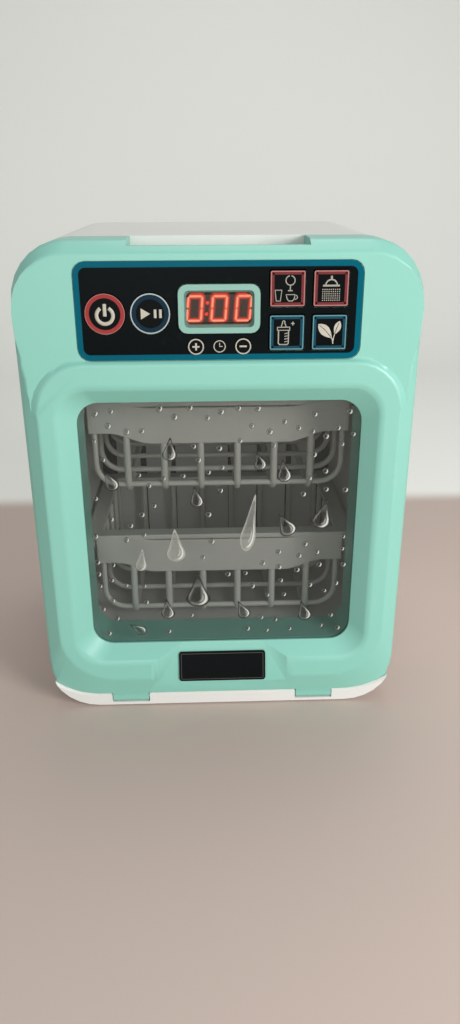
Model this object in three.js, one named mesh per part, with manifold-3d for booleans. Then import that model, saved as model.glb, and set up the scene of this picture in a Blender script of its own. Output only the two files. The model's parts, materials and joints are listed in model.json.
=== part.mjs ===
// A toy dishwasher for a play kitchen. The whole mint front is a door that swings down on two tabs at its
// foot. It carries the control panel, the display and the batteries. Behind it a grey tub holds two racks.
// Millimetres: X to the right, Y to the back, Z up. The origin is on the table, under the middle of the toy.

import * as THREE from "three";
import { mergeVertices } from "three/addons/utils/BufferGeometryUtils.js";
import Module from "manifold-3d";

const wasm = await Module();
wasm.setup();

// Overall size
const width = 230;
const depth = 190;
const height = 300;
const cornerRadius = 32;

// Clearances
const gap = 0.3;
const runningGap = 0.5;
const overrun = 5;

// Door front, from the land that stands furthest forward
const landToEdge = 7;
const landToPanel = 2.5;
const landToWindow = 8.5;
const doorBody = 30;
const doorWall = 2.4;
const doorEase = 4;
const topBevel = 3;
const sideEase = 0.8;
const landInset = 10.3;
const landFoot = 24.4;
const landCorner = 34;
const panelTopInset = 8.4;
const panelSideInset = 1.8;
const chamferStart = 98;
const chamferFull = 38;

// Ridge round the window
const ridgeTopInset = 66;
const ridgeSlope = 1.8;
const ridgeCorner = 28;
const ridgeSideSlope = 3.75;

// Window
const windowSideInset = 31;
const windowLow = 47.3;
const windowTopInset = 89.7;
const windowCorner = 13;
const windowSlope = 10;
const slopeCorner = 17;
const lipThickness = 1.2;
const paneThickness = 1.8;
const paneLap = 3;

// Control panel, as one printed film with keys that pass through it
const filmSideInset = 36;
const filmTopInset = 10.7;
const panelCorner = 7;
const filmThickness = 0.6;
const filmSink = 0.3;
const skinThickness = 2;
const keyHoleGap = 0.35;
const keyStand = 0.5;
const keyTravel = 1;
const keyFlange = 1;
const keyLap = 0.9;
const powerKeyShare = 0.795;
const roundKeyPitchShare = 0.314;
const roundKeyRoom = 2.6;
const roundKeyRise = 25.8;
const smallKeyRadius = 4.5;
const smallKeyX = 13.2;
const smallKeyRise = 7.5;
const squareKeyShare = 0.776;
const squareKeyPitchShare = 0.301;
const squareKeyRoom = 4.1;
const squareKeyCorner = 1.2;

// Display
const bezelHalfShare = 0.285;
const bezelRise = 15;
const bezelTopRoom = 12.2;
const bezelCorner = 5;
const bezelRim = 3.2;
const bezelStand = 1.5;
const bezelLedge = 1.2;
const bezelLap = 1.5;
const lensThickness = 1.5;
const lensSink = 0.8;
const lensCorner = 2.4;
const digitBlockInset = 1;

// Circuit board
const boardSideRoom = 4;
const boardRise = 2.7;
const boardTopRoom = 6.3;
const boardThickness = 1.6;
const boardStand = 6;
const boardBossInset = 5.5;
const boardBossRadius = 3;
const switchSize = 6;
const switchHeight = 3;
const plungerRadius = 1.5;
const plungerHeight = 0.3;
const plungerReach = 1.4;

// Batteries, in a tray on the inside of the door
const cellRadius = 7.1;
const cellLength = 49.5;
const cellNubRadius = 2.7;
const cellNub = 1;
const cellPitch = 14.7;
const cellCount = 3;
const trayWall = 1.5;
const trayMiddleX = -44.5;
const trayTopInset = 70.5;
const trayRise = 12;
const trayEndRoom = 2.6;
const traySideRoom = 0.5;
const trayDepth = 17.9;
const trayFlange = 3;
const contactThickness = 0.6;
const batteryCoverLap = 1;
const coverTabDrop = 5.5;
const coverTabHalf = 5.5;
const coverTabBoss = 4;
const coverTabBossLength = 9;
const coverTabScrewLength = 6;

// Inner panel of the door
const innerPanelThickness = 2;
const innerPanelLow = 13;
const innerCornerLow = 25;
const speakerX = 52;
const speakerTopInset = 40;
const speakerRadius = 14;
const speakerMagnetRadius = 8;
const speakerRim = 2;
const speakerDepth = 8;
const grilleSlots = 5;
const grillePitch = 4;
const grilleHalf = 8;
const grilleSlot = 1.8;

// Finger recess in the top of the door
const recessHalf = 50;
const recessDrop = 3.3;
const recessDepth = 14;
const recessLip = 4;
const recessWall = 2.4;
const apronThickness = 2;

// Name plate in its pocket
const plateWidth = 57.3;
const plateHeight = 20.2;
const plateCorner = 2;
const plateThickness = 0.8;
const plateFoot = 21.4;
const pocketFoot = 22;
const pocketDrop = 1.5;
const pocketHalf = 45;
const pocketEndSlopeShare = 0.45;

// Base, hinge and feet
const footStand = 1;
const baseFloor = 2.5;
const baseFrontSet = 2.5;
const baseFrontWall = 12;
const baseSideWall = 30;
const baseBackWall = 6;
const baseChamfer = 1.5;
const hingeZ = 6.3;
const hingeRadius = 3;
const hingePinRadius = 1.25;
const hingePinReach = 5;
const tabSideInset = 53.2;
const tabWidth = 24;
const doorFoot = 10.6;
const seamSpread = 17;
const seamRadius = 48;
const footRadius = 8;
const footSink = 0.9;
const footSideInset = 45;
const footInset = 22;
const legSideInset = 15;
const legRadius = 5;
const legFrontInset = 55;
const legBackInset = 35;

// Cabinet, rear cover and screws
const cabinetWall = 2.5;
const coverThickness = 2.7;
const coverLip = 2.5;
const coverLipWall = 2;
const screwHeadRadius = 3.6;
const screwHead = 1.5;
const screwRadius = 1.5;
const screwLength = 16;
const screwSink = 0.3;
const bossRadius = 5;
const bossLength = 22;
const bossLow = 50;
const bossTopInset = 38;
const doorBossRadius = 4;
const doorBossSideInset = 14;
const doorBossLow = 30;
const doorBossTopInset = 24;
const doorScrewLength = 12;
const ventHalf = 30;
const ventX = 45;
const ventLow = 60;
const ventPitch = 14;
const ventSlot = 4;
const ventCount = 6;

// Tub
const tubSideInset = 22;
const tubLow = 44;
const tubTopInset = 68;
const tubCorner = 18;
const tubWall = 1.8;
const tubBackInset = 15;
const flangeThickness = 2;
const slatCount = 7;
const slatSideRoom = 9.7;
const slatGap = 4.8;
const slatStand = 3;
const slatFootRoom = 6;
const slatTopRoom = 8;
const railReach = 8.5;
const railThickness = 3;

// Racks
const rackHeightShare = 0.3324;
const rackSideRoom = 13;
const rackRimRoom = 3;
const rackBandRoom = 1;
const rackRim = 7;
const rackRimThickness = 3.5;
const rackSetBack = 7.2;
const rackBackGap = 9;
const upperRackDrop = 31;
const lowerRackRoom = 2.5;
const rackCornerShare = 0.224;
const wire = 3.8;
const barWire = 4.6;
const ribCount = 5;
const barCount = 6;
const barCorner = 8;
const bandThickness = 2.5;
const bandDip = 4;
const bandDropShare = 0.334;
const bandMiddleDropShare = 0.445;
const bandWaveShares = [0.88, 0.55];
const rearBandDrop = 10;

// Latch
const latchTopInset = 23;
const latchHalf = 8;
const latchHeight = 4;
const latchReach = 10;
const latchFlange = 1.5;
const latchLap = 3;
const latchRoom = 1.5;
const catchWall = 1.6;
const catchDepth = 14;

// Numbers of faces
const arcSteps = 7;
const fewSteps = 3;
const keySides = 32;
const smallSides = 16;
const screwSides = 8;

// Planes that follow from the sizes
const halfWidth = width / 2;
const frontY = -depth / 2;
const backY = depth / 2;
const edgeY = frontY + landToEdge;
const panelY = frontY + landToPanel;
const windowY = frontY + landToWindow;
const doorBackY = edgeY + doorBody;
const cabinetFrontY = doorBackY + runningGap;
const coverY = backY - coverThickness;
const filmFrontY = panelY + filmSink;
const filmBackY = filmFrontY + filmThickness;
const filmSeatY = filmBackY + gap;
const cavityY = filmSeatY + skinThickness;
const boardY = cavityY + boardStand;
const innerPanelY = doorBackY - innerPanelThickness;
const paneY = windowY + lipThickness + gap;
const tunnelY = paneY + paneThickness + gap;
const hingeY = frontY + (landToEdge * (landFoot - doorFoot)) / (landFoot - footStand) + hingeRadius;
const baseFrontY = hingeY - baseFrontSet;
const tubBackY = backY - tubBackInset;
const windowHalf = halfWidth - windowSideInset;
const windowHigh = height - windowTopInset;
const ridgeTop = height - ridgeTopInset;
const panelHalf = halfWidth - filmSideInset;
const panelLow = ridgeTop + ridgeSlope;
const panelHigh = height - filmTopInset;
const roundKeyPitch = panelHalf * roundKeyPitchShare;
const roundKeyRadius = (roundKeyPitch - roundKeyRoom) / 2;
const roundKeyZ = panelLow + roundKeyRise;
const powerKeyX = -panelHalf * powerKeyShare;
const playKeyX = powerKeyX + roundKeyPitch;
const smallKeyZ = panelLow + smallKeyRise;
const squareKeyPitch = panelHalf * squareKeyPitchShare;
const squareKey = squareKeyPitch - squareKeyRoom;
const squareKeyRight = panelHalf * squareKeyShare;
const squareKeyLeft = squareKeyRight - squareKeyPitch;
const squareKeyHigh = (panelLow + panelHigh + squareKeyPitch) / 2;
const squareKeyLow = squareKeyHigh - squareKeyPitch;
const bezelHalf = panelHalf * bezelHalfShare;
const bezelLow = panelLow + bezelRise;
const bezelHigh = panelHigh - bezelTopRoom;
const boardHalf = panelHalf + boardSideRoom;
const boardBossX = panelHalf;
const boardLow = panelLow + boardRise;
const boardHigh = panelHigh - boardTopRoom;
const trayFoot = Math.max(height - trayTopInset, windowHigh + trayRise);
const speakerZ = height - speakerTopInset;
const latchZ = height - latchTopInset;
const tabMiddle = halfWidth - tabSideInset;
const tubHalf = halfWidth - tubSideInset;
const tubHigh = height - tubTopInset;
const slatPitch = (2 * (tubHalf - slatSideRoom)) / slatCount;
const slatWidth = slatPitch - slatGap;
const rackHeight = (tubHigh - tubLow) * rackHeightShare;
const upperRackTop = tubHigh - upperRackDrop;
const lowerRackTop = tubLow + lowerRackRoom + rackHeight;
const rackHalf = tubHalf - rackSideRoom;
const rackRimHalf = tubHalf - rackRimRoom;
const rackBandHalf = tubHalf - railReach - rackBandRoom;
const rackCorner = rackHeight * rackCornerShare;
const bandDrop = rackHeight * bandDropShare;
const bandMiddleDrop = rackHeight * bandMiddleDropShare;
const [bandWaveStart, bandWaveEnd] = bandWaveShares.map((share) => rackHalf * share);
const trayHeight = cellPitch * (cellCount - 1) + 2 * (cellRadius + traySideRoom + trayWall);
const trayHalf = cellLength / 2 + cellNub / 2 + trayEndRoom + trayWall;
const baseTop = doorFoot - gap;
const cellY = innerPanelY - cellRadius - 2 * trayWall + doorWall / 2;

const materials = {
  mint: new THREE.MeshStandardMaterial({ color: 0x93c9b8, roughness: 0.35, metalness: 0 }),
  white: new THREE.MeshStandardMaterial({ color: 0xe2dfd8, roughness: 0.4, metalness: 0 }),
  grey: new THREE.MeshStandardMaterial({ color: 0x8f918a, roughness: 0.5, metalness: 0 }),
  tub: new THREE.MeshStandardMaterial({ color: 0x6f726d, roughness: 0.5, metalness: 0 }),
  black: new THREE.MeshStandardMaterial({ color: 0x16191a, roughness: 0.25, metalness: 0 }),
  smoke: new THREE.MeshStandardMaterial({
    color: 0x55605c, roughness: 0.1, metalness: 0, transparent: true, opacity: 0.5,
  }),
  lens: new THREE.MeshStandardMaterial({ color: 0x2a1712, roughness: 0.15, metalness: 0 }),
  board: new THREE.MeshStandardMaterial({ color: 0x2f6b3c, roughness: 0.6, metalness: 0 }),
  steel: new THREE.MeshStandardMaterial({ color: 0xb9bcbd, roughness: 0.3, metalness: 1 }),
  cell: new THREE.MeshStandardMaterial({ color: 0x3d4a52, roughness: 0.4, metalness: 0.3 }),
  rubber: new THREE.MeshStandardMaterial({ color: 0x9a9a96, roughness: 0.9, metalness: 0 }),
};

// A closed mesh as a solid that can be joined and cut.
function solidOf(geometry) {
  const bare = geometry.index ? geometry.toNonIndexed() : geometry;
  const positions = new THREE.BufferGeometry().setAttribute("position", bare.getAttribute("position"));
  const merged = mergeVertices(positions, gap / 1000);
  return new wasm.Manifold(
    new wasm.Mesh({
      numProp: 3,
      vertProperties: new Float32Array(merged.attributes.position.array),
      triVerts: new Uint32Array(merged.index.array),
    }),
  );
}

function geometryOf(solid) {
  const mesh = solid.getMesh();
  const positions = new Float32Array(mesh.numVert * 3);
  for (let i = 0; i < mesh.numVert; i++)
    positions.set(mesh.vertProperties.subarray(i * mesh.numProp, i * mesh.numProp + 3), i * 3);
  const geometry = new THREE.BufferGeometry();
  geometry.setAttribute("position", new THREE.BufferAttribute(positions, 3));
  geometry.setIndex(new THREE.BufferAttribute(new Uint32Array(mesh.triVerts), 1));
  const flat = geometry.toNonIndexed();
  flat.computeVertexNormals();
  return flat;
}

// Joins solids, and cuts solids out of one.
const join = (...solids) => solids.flat().reduce((all, one) => all.add(one));
const cut = (solid, ...tools) => tools.flat().reduce((left, tool) => left.subtract(tool), solid);

// A solid between outlines of [u, v] points, each at its own place along an axis, in rising order.
function loft(sections, axis = "y") {
  const place = {
    x: ([u, v], at) => [at, u, v],
    y: ([u, v], at) => [u, at, v],
    z: ([u, v], at) => [u, v, at],
  }[axis];
  const count = sections[0].points.length;
  const positions = sections.flatMap(({ points, at }) => points.flatMap((point) => place(point, at)));
  const faces = [];
  for (let ring = 0; ring + 1 < sections.length; ring++)
    for (let i = 0; i < count; i++) {
      const a = ring * count + i;
      const b = ring * count + ((i + 1) % count);
      faces.push([a, b, b + count], [a, b + count, a + count]);
    }
  const cap = (points, start, flip) => {
    const shape = points.map(([u, v]) => new THREE.Vector2(u, v));
    for (const [a, b, c] of THREE.ShapeUtils.triangulateShape(shape, []))
      faces.push(flip ? [start + a, start + c, start + b] : [start + a, start + b, start + c]);
  };
  cap(sections[0].points, 0, true);
  cap(sections.at(-1).points, (sections.length - 1) * count, false);
  const turned = axis === "y" ? faces.map(([a, b, c]) => [a, c, b]) : faces;
  const geometry = new THREE.BufferGeometry();
  geometry.setAttribute("position", new THREE.Float32BufferAttribute(positions, 3));
  geometry.setIndex(turned.flat());
  return solidOf(geometry);
}

const prism = (points, from, to, axis = "y") =>
  loft([{ points, at: from }, { points, at: to }], axis);

// A rectangle with round corners. Its sides can stand in, by place, at a number of stations.
function frameOutline({
  half, low, high, cornerLow, cornerHigh = cornerLow, halfHigh = half, sides = [], steps = arcSteps,
}) {
  const arc = (x, z, radius, start) =>
    Array.from({ length: steps + 1 }, (_, i) => {
      const turn = start + (Math.PI / 2) * (i / steps);
      return [x + radius * Math.cos(turn), z + radius * Math.sin(turn)];
    });
  return [
    ...sides.map(({ z, x }) => [x, z]),
    ...arc(halfHigh - cornerHigh, high - cornerHigh, cornerHigh, 0),
    ...arc(cornerHigh - halfHigh, high - cornerHigh, cornerHigh, Math.PI / 2),
    ...sides.map(({ z, x }) => [-x, z]).reverse(),
    ...arc(cornerLow - half, low + cornerLow, cornerLow, Math.PI),
    ...arc(half - cornerLow, low + cornerLow, cornerLow, 1.5 * Math.PI),
  ];
}

function rectangle(x0, x1, z0, z1) {
  return [[x0, z0], [x1, z0], [x1, z1], [x0, z1]];
}

function circle(x, z, radius, sides) {
  return Array.from({ length: sides }, (_, i) => {
    const turn = (2 * Math.PI * i) / sides;
    return [x + radius * Math.cos(turn), z + radius * Math.sin(turn)];
  });
}

const block = (x0, x1, y0, y1, z0, z1) => prism(rectangle(x0, x1, z0, z1), y0, y1);
const rod = (u, v, radius, from, to, sides, axis = "y") =>
  prism(circle(u, v, radius, sides), from, to, axis);

// A flat bar of square section along a line of points, which lies in the plane across the axis.
function bar(points, thickness, at, axis) {
  const left = [];
  const right = [];
  points.forEach(([u, v], i) => {
    const [u0, v0] = points[Math.max(i - 1, 0)];
    const [u1, v1] = points[Math.min(i + 1, points.length - 1)];
    const length = Math.hypot(u1 - u0, v1 - v0);
    const side = [((v0 - v1) / length) * (thickness / 2), ((u1 - u0) / length) * (thickness / 2)];
    left.push([u + side[0], v + side[1]]);
    right.push([u - side[0], v - side[1]]);
  });
  return prism([...right, ...left.reverse()], at - thickness / 2, at + thickness / 2, axis);
}

// A line that goes down, across and up again, with round corners.
function valley(u0, u1, top, bottom, radius) {
  const arc = (u, start) =>
    Array.from({ length: fewSteps + 1 }, (_, i) => {
      const turn = start + (Math.PI / 2) * (i / fewSteps);
      return [u + radius * Math.cos(turn), bottom + radius + radius * Math.sin(turn)];
    });
  return [[u0, top], ...arc(u0 + radius, Math.PI), ...arc(u1 - radius, 1.5 * Math.PI), [u1, top]];
}

const toy = new THREE.Group();
const hinged = new THREE.Group();
hinged.position.set(0, hingeY, hingeZ);
toy.add(hinged);

// A named mesh in a group, which may have its own origin.
function piece(name, solid, material, parent = toy) {
  const geometry = geometryOf(solid);
  geometry.translate(-parent.position.x, -parent.position.y, -parent.position.z);
  const mesh = new THREE.Mesh(geometry, material);
  mesh.name = name;
  parent.add(mesh);
  return mesh;
}

// The outer form of the cabinet, and the same form drawn in by a wall.
const bodyOutline = (inset) =>
  frameOutline({
    half: halfWidth - inset,
    low: footStand + inset,
    high: height - inset,
    cornerLow: cornerRadius - inset,
  });

// What lies above the seam over the base, which rises towards the sides.
const seamOutline = (drop) =>
  frameOutline({
    half: halfWidth + seamSpread,
    low: doorFoot - drop,
    high: height + seamRadius,
    cornerLow: seamRadius,
  });
const aboveSeam = () => prism(seamOutline(0), frontY - 2 * overrun, backY + 2 * overrun);

const windowOutline = (lap) =>
  frameOutline({
    half: windowHalf + lap,
    low: windowLow - lap,
    high: windowHigh + lap,
    cornerLow: windowCorner + lap,
  });

const slopeOutline = (lap) =>
  frameOutline({
    half: windowHalf + windowSlope + lap,
    low: windowLow - windowSlope - lap,
    high: windowHigh + windowSlope + lap,
    cornerLow: slopeCorner + lap,
  });

const filmOutline = (lap) =>
  frameOutline({
    half: panelHalf + lap,
    low: panelLow - lap,
    high: panelHigh + lap,
    cornerLow: panelCorner,
    steps: fewSteps + 1,
  });

const bezelOutline = (lap) =>
  frameOutline({
    half: bezelHalf + lap,
    low: bezelLow - lap,
    high: bezelHigh + lap,
    cornerLow: bezelCorner,
    steps: fewSteps + 1,
  });

const lensOutline = (inset) =>
  frameOutline({
    half: bezelHalf - bezelRim - inset,
    low: bezelLow + bezelRim + inset,
    high: bezelHigh - bezelRim - inset,
    cornerLow: lensCorner,
    steps: fewSteps,
  });

const roundKey = (x, z, radius) => ({ outline: (lap) => circle(x, z, radius + lap, keySides), x, z });
const squareKeyAt = (x, z) => ({
  outline: (lap) =>
    frameOutline({
      half: squareKey / 2 + lap,
      low: z - squareKey / 2 - lap,
      high: z + squareKey / 2 + lap,
      cornerLow: squareKeyCorner,
      steps: fewSteps - 1,
    }).map(([u, v]) => [x + u, v]),
  x,
  z,
});

const keys = {
  power_key: roundKey(powerKeyX, roundKeyZ, roundKeyRadius),
  play_pause_key: roundKey(playKeyX, roundKeyZ, roundKeyRadius),
  plus_key: roundKey(-smallKeyX, smallKeyZ, smallKeyRadius),
  minus_key: roundKey(smallKeyX, smallKeyZ, smallKeyRadius),
  glassware_key: squareKeyAt(squareKeyLeft, squareKeyHigh),
  spray_key: squareKeyAt(squareKeyRight, squareKeyHigh),
  bottle_key: squareKeyAt(squareKeyLeft, squareKeyLow),
  leaf_key: squareKeyAt(squareKeyRight, squareKeyLow),
};

// The front of the door: the sides slope in from the edge to the land, and this slope dies out upwards.
function doorOuter() {
  const stations = 6;
  const top = height - chamferFull;
  const foot = height - chamferStart;
  const sidesAt = (from, to) =>
    Array.from({ length: stations }, (_, i) => {
      const share = i / (stations - 1);
      const ease = share * share * (3 - 2 * share);
      return { z: foot + (top - foot) * share, x: from + (to - from) * ease };
    });
  const edgeHalf = halfWidth - sideEase;
  const landHalf = halfWidth - landInset;
  const landHigh = halfWidth - panelSideInset;
  const body = {
    half: halfWidth,
    low: footStand,
    high: height,
    cornerLow: cornerRadius,
    sides: sidesAt(halfWidth, halfWidth),
  };
  return loft([
    {
      at: frontY,
      points: frameOutline({
        half: landHalf,
        halfHigh: landHigh,
        low: landFoot,
        high: height - panelTopInset,
        cornerLow: landCorner,
        cornerHigh: cornerRadius - sideEase - panelSideInset,
        sides: sidesAt(landHalf, landHigh),
      }),
    },
    {
      at: edgeY,
      points: frameOutline({
        half: edgeHalf,
        low: footStand,
        high: height - topBevel,
        cornerLow: cornerRadius,
        sides: sidesAt(edgeHalf, edgeHalf),
      }),
    },
    { at: edgeY + doorEase, points: frameOutline(body) },
    { at: doorBackY, points: frameOutline(body) },
  ]);
}

// What is taken off above the ridge, so that the control panel lies lower than the land.
function panelStep() {
  const low = ridgeTop - ridgeCorner;
  const around = block(
    -halfWidth - overrun, halfWidth + overrun, frontY - overrun, panelY, low, height + overrun,
  );
  const ridge = { low: low - overrun, cornerLow: overrun / 2 };
  const land = halfWidth - landInset + gap / 6;
  const top = frameOutline({ ...ridge, half: land, high: ridgeTop, cornerHigh: ridgeCorner });
  const bottom = frameOutline({
    ...ridge, half: land + ridgeSideSlope, high: ridgeTop + ridgeSlope, cornerHigh: ridgeCorner + ridgeSlope,
  });
  return cut(around, loft([
    { at: frontY - 2 * overrun, points: top },
    { at: frontY, points: top },
    { at: panelY, points: bottom },
    { at: panelY + overrun, points: bottom },
  ]));
}

// The shallow pocket of the name plate: a plane that leans back from the foot of the land to the window.
const pocketLeanShare = (landToWindow - pocketDrop) / (windowLow - pocketFoot);
const pocketYAt = (z) => frontY + pocketDrop + (z - pocketFoot) * pocketLeanShare;

function platePocket() {
  const low = pocketFoot - overrun;
  const leaning = prism(
    [
      [frontY - overrun, low],
      [pocketYAt(low), low],
      [pocketYAt(windowLow), windowLow],
      [frontY - overrun, windowLow],
    ],
    -halfWidth, halfWidth, "x",
  );
  const reach = pocketHalf - (landToWindow + overrun) / pocketEndSlopeShare;
  const wide = pocketHalf + overrun / pocketEndSlopeShare;
  const ends = prism(
    [
      [-wide, frontY - overrun],
      [wide, frontY - overrun],
      [reach, windowY + overrun],
      [-reach, windowY + overrun],
    ],
    low, windowLow, "z",
  );
  return leaning.intersect(ends);
}

function doorCavity() {
  const inside = loft([
    {
      at: cavityY,
      points: frameOutline({
        half: halfWidth - 2 * doorWall - sideEase,
        low: innerPanelLow,
        high: height - topBevel - 2 * doorWall,
        cornerLow: innerCornerLow,
        cornerHigh: ridgeCorner,
      }),
    },
    { at: edgeY + doorEase, points: cavityOutline(0) },
    { at: doorBackY + overrun, points: cavityOutline(0) },
  ]);
  const ridgeHollow = prism(
    frameOutline({
      half: halfWidth - landInset - doorWall,
      low: landFoot + doorWall,
      high: ridgeTop - doorWall,
      cornerLow: landCorner - doorWall,
      cornerHigh: ridgeCorner - doorWall,
    }),
    frontY + doorWall, cavityY + overrun,
  );
  const funnelWall = loft([
    { at: frontY - overrun, points: slopeOutline(doorWall) },
    { at: frontY, points: slopeOutline(doorWall) },
    { at: windowY, points: windowOutline(paneLap + 2 * lipThickness) },
    { at: windowY + lipThickness, points: windowOutline(paneLap + 2 * lipThickness) },
  ]);
  const paneSeatY = windowY + lipThickness;
  const plateBack = prism(
    [
      [frontY, innerPanelLow],
      [pocketYAt(innerPanelLow) + doorWall, innerPanelLow],
      [paneSeatY, windowLow - (doorWall - lipThickness) / pocketLeanShare],
      [paneSeatY, windowLow],
      [frontY, windowLow],
    ],
    -pocketHalf, pocketHalf, "x",
  );
  const recessHousing = block(
    -recessHalf - recessWall, recessHalf + recessWall, edgeY + recessLip - recessWall,
    doorBackY + 2 * overrun, height - recessDepth - recessWall, height,
  );
  return cut(join(inside, ridgeHollow), funnelWall, plateBack, recessHousing);
}

const cavityOutline = (inset) =>
  frameOutline({
    half: halfWidth - doorWall - inset,
    low: innerPanelLow + inset,
    high: height - doorWall - inset,
    cornerLow: innerCornerLow,
    cornerHigh: cornerRadius - doorWall,
  });

// Where the four screws of the inner panel, and the bosses behind the board, stand.
const doorScrewPlaces = [-1, 1].flatMap((side) =>
  [doorBossLow, height - doorBossTopInset].map((z) => [side * (halfWidth - doorBossSideInset), z]));
const boardBossPlaces = [-1, 1].flatMap((side) =>
  [boardLow + boardBossInset, boardHigh - boardBossInset].map((z) => [side * boardBossX, z]));

function doorShell() {
  const bosses = [
    ...boardBossPlaces.map(([x, z]) => rod(x, z, boardBossRadius, cavityY - gap, boardY - gap, smallSides)),
    ...doorScrewPlaces.map(([x, z]) =>
      rod(x, z, doorBossRadius, cavityY - gap, innerPanelY - gap, smallSides)),
  ];
  const tabs = [-1, 1].map((side) => {
    const x0 = side * tabMiddle - tabWidth / 2;
    const x1 = x0 + tabWidth;
    return join(
      rod(hingeY, hingeZ, hingeRadius, x0, x1, smallSides, "x"),
      block(x0, x1, hingeY - hingeRadius, hingeY + hingeRadius, hingeZ, doorFoot + doorWall / 2),
    );
  });
  const window = loft([
    { at: frontY - overrun, points: slopeOutline(0) },
    { at: frontY, points: slopeOutline(0) },
    { at: windowY, points: windowOutline(0) },
    { at: doorBackY, points: windowOutline(0) },
  ]);
  const recess = join(
    block(
      -recessHalf, recessHalf, frontY - overrun, doorBackY + overrun, height - recessDrop, height + overrun,
    ),
    block(
      -recessHalf, recessHalf, edgeY + recessLip, doorBackY + overrun, height - recessDepth, height + overrun,
    ),
  );
  const holes = [
    ...Object.values(keys).map((key) => prism(key.outline(keyHoleGap), panelY - overrun, cavityY + overrun)),
    prism(bezelOutline(keyHoleGap), panelY - overrun, cavityY + overrun),
    prism(filmOutline(keyHoleGap), panelY - overrun, filmSeatY),
    ...doorScrewPlaces.map(([x, z]) =>
      rod(x, z, screwRadius + gap, innerPanelY - doorScrewLength - gap, innerPanelY + gap, screwSides)),
    rod(hingeY, hingeZ, hingePinRadius + gap, -halfWidth, halfWidth, smallSides, "x"),
  ];
  const outer = doorOuter().intersect(aboveSeam());
  const shell = cut(outer, panelStep(), platePocket(), window, doorCavity(), recess);
  return cut(join(shell, bosses, tabs), holes);
}

function innerPanel() {
  const sheet = prism(cavityOutline(gap), innerPanelY, doorBackY);
  const tunnel = prism(windowOutline(doorWall), tunnelY, doorBackY);
  const notch = block(
    -recessHalf - recessWall - gap, recessHalf + recessWall + gap, innerPanelY - overrun, doorBackY + overrun,
    height - recessDepth - recessWall - gap, height,
  );
  const grille = Array.from({ length: grilleSlots }, (_, i) => {
    const z = speakerZ + (i - (grilleSlots - 1) / 2) * grillePitch;
    return block(
      speakerX - grilleHalf, speakerX + grilleHalf, innerPanelY - overrun, doorBackY + overrun,
      z - grilleSlot / 2, z + grilleSlot / 2,
    );
  });
  return cut(
    join(sheet, tunnel),
    prism(windowOutline(0), tunnelY - overrun, doorBackY + overrun),
    notch,
    grille,
    prism(trayOutline(batteryCoverLap + gap - trayWall), innerPanelY - overrun, doorBackY + overrun),
    prism(coverTab(gap), innerPanelY - overrun, doorBackY + overrun),
    block(
      -latchHalf - gap, latchHalf + gap, innerPanelY - overrun, doorBackY + overrun,
      latchZ - latchHeight / 2 - gap, latchZ + latchHeight / 2 + gap,
    ),
    doorScrewPlaces.map(([x, z]) => countersunk(x, z, doorBackY, -1)),
  );
}

// A screw hole with room for its head, in a face at the given place; out says which way the head faces.
function countersunk(x, z, face, out) {
  const head = screwHead + screwSink + gap;
  const far = face + out * head;
  const [from, to] = out < 0 ? [far, face + overrun] : [face - overrun, far];
  return join(
    rod(x, z, screwHeadRadius + gap, from, to, smallSides),
    rod(x, z, screwRadius + gap, face - 2 * overrun, face + 2 * overrun, screwSides),
  );
}

const trayOutline = (lap) =>
  rectangle(
    trayMiddleX - trayHalf - lap, trayMiddleX + trayHalf + lap, trayFoot - lap, trayFoot + trayHeight + lap,
  );

// The tab by which one screw holds the battery cover to the tray.
const coverTabZ = trayFoot - coverTabDrop;
const coverTab = (lap) =>
  rectangle(
    trayMiddleX - coverTabHalf - lap, trayMiddleX + coverTabHalf + lap, coverTabZ - coverTabHalf - lap,
    trayFoot + trayWall,
  );

function batteryTray() {
  const trayBack = innerPanelY - gap;
  const boss = rod(
    trayMiddleX, coverTabZ, coverTabBoss, trayBack - coverTabBossLength, trayBack, smallSides,
  );
  return cut(
    join(
      prism(trayOutline(0), trayBack - trayDepth, trayBack),
      prism(trayOutline(trayFlange), trayBack - trayWall, trayBack),
      boss,
    ),
    prism(trayOutline(-trayWall), trayBack - trayDepth + trayWall, trayBack + overrun),
    rod(
      trayMiddleX, coverTabZ, screwRadius + gap, trayBack - coverTabScrewLength - gap, trayBack + overrun,
      screwSides,
    ),
  );
}

// A turned piece along Y or Z, from a profile of [radius, place] points.
function turned(profile, sides) {
  const points = profile.map(([radius, along]) => new THREE.Vector2(radius, along));
  return new THREE.LatheGeometry(points, sides);
}

function screwGeometry(length) {
  return turned(
    [[0, 0], [screwRadius, 0], [screwRadius, length], [screwHeadRadius, length],
      [screwHeadRadius, length + screwHead], [0, length + screwHead]],
    screwSides,
  );
}

// Places a screw by its tip. Without a turn its head faces the back.
function screw(name, length, [x, y, z], turn, parent = toy) {
  const mesh = new THREE.Mesh(screwGeometry(length), materials.steel);
  mesh.name = name;
  mesh.rotation.x = turn;
  mesh.position.set(x - parent.position.x, y - parent.position.y, z - parent.position.z);
  parent.add(mesh);
}

function makeDoor() {
  piece("door_shell", doorShell(), materials.mint, hinged);
  piece("door_inner_panel", innerPanel(), materials.mint, hinged);
  piece("window_pane", prism(windowOutline(paneLap), paneY, paneY + paneThickness), materials.smoke, hinged);
  const head = screwHead + screwSink;
  doorScrewPlaces.forEach(([x, z], i) =>
    screw(`door_screw_${i + 1}`, doorScrewLength, [x, doorBackY - head - doorScrewLength, z], 0, hinged));
  const lean = Math.atan(pocketLeanShare);
  const plate = prism(
    frameOutline({
      half: plateWidth / 2, low: 0, high: plateHeight, cornerLow: plateCorner,
    }),
    -gap - plateThickness, -gap,
  );
  const mesh = piece("name_plate", plate, materials.black, new THREE.Group());
  mesh.rotation.x = -lean;
  mesh.position.set(0, pocketYAt(plateFoot) - hingeY, plateFoot - hingeZ);
  hinged.add(mesh);
}

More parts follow.
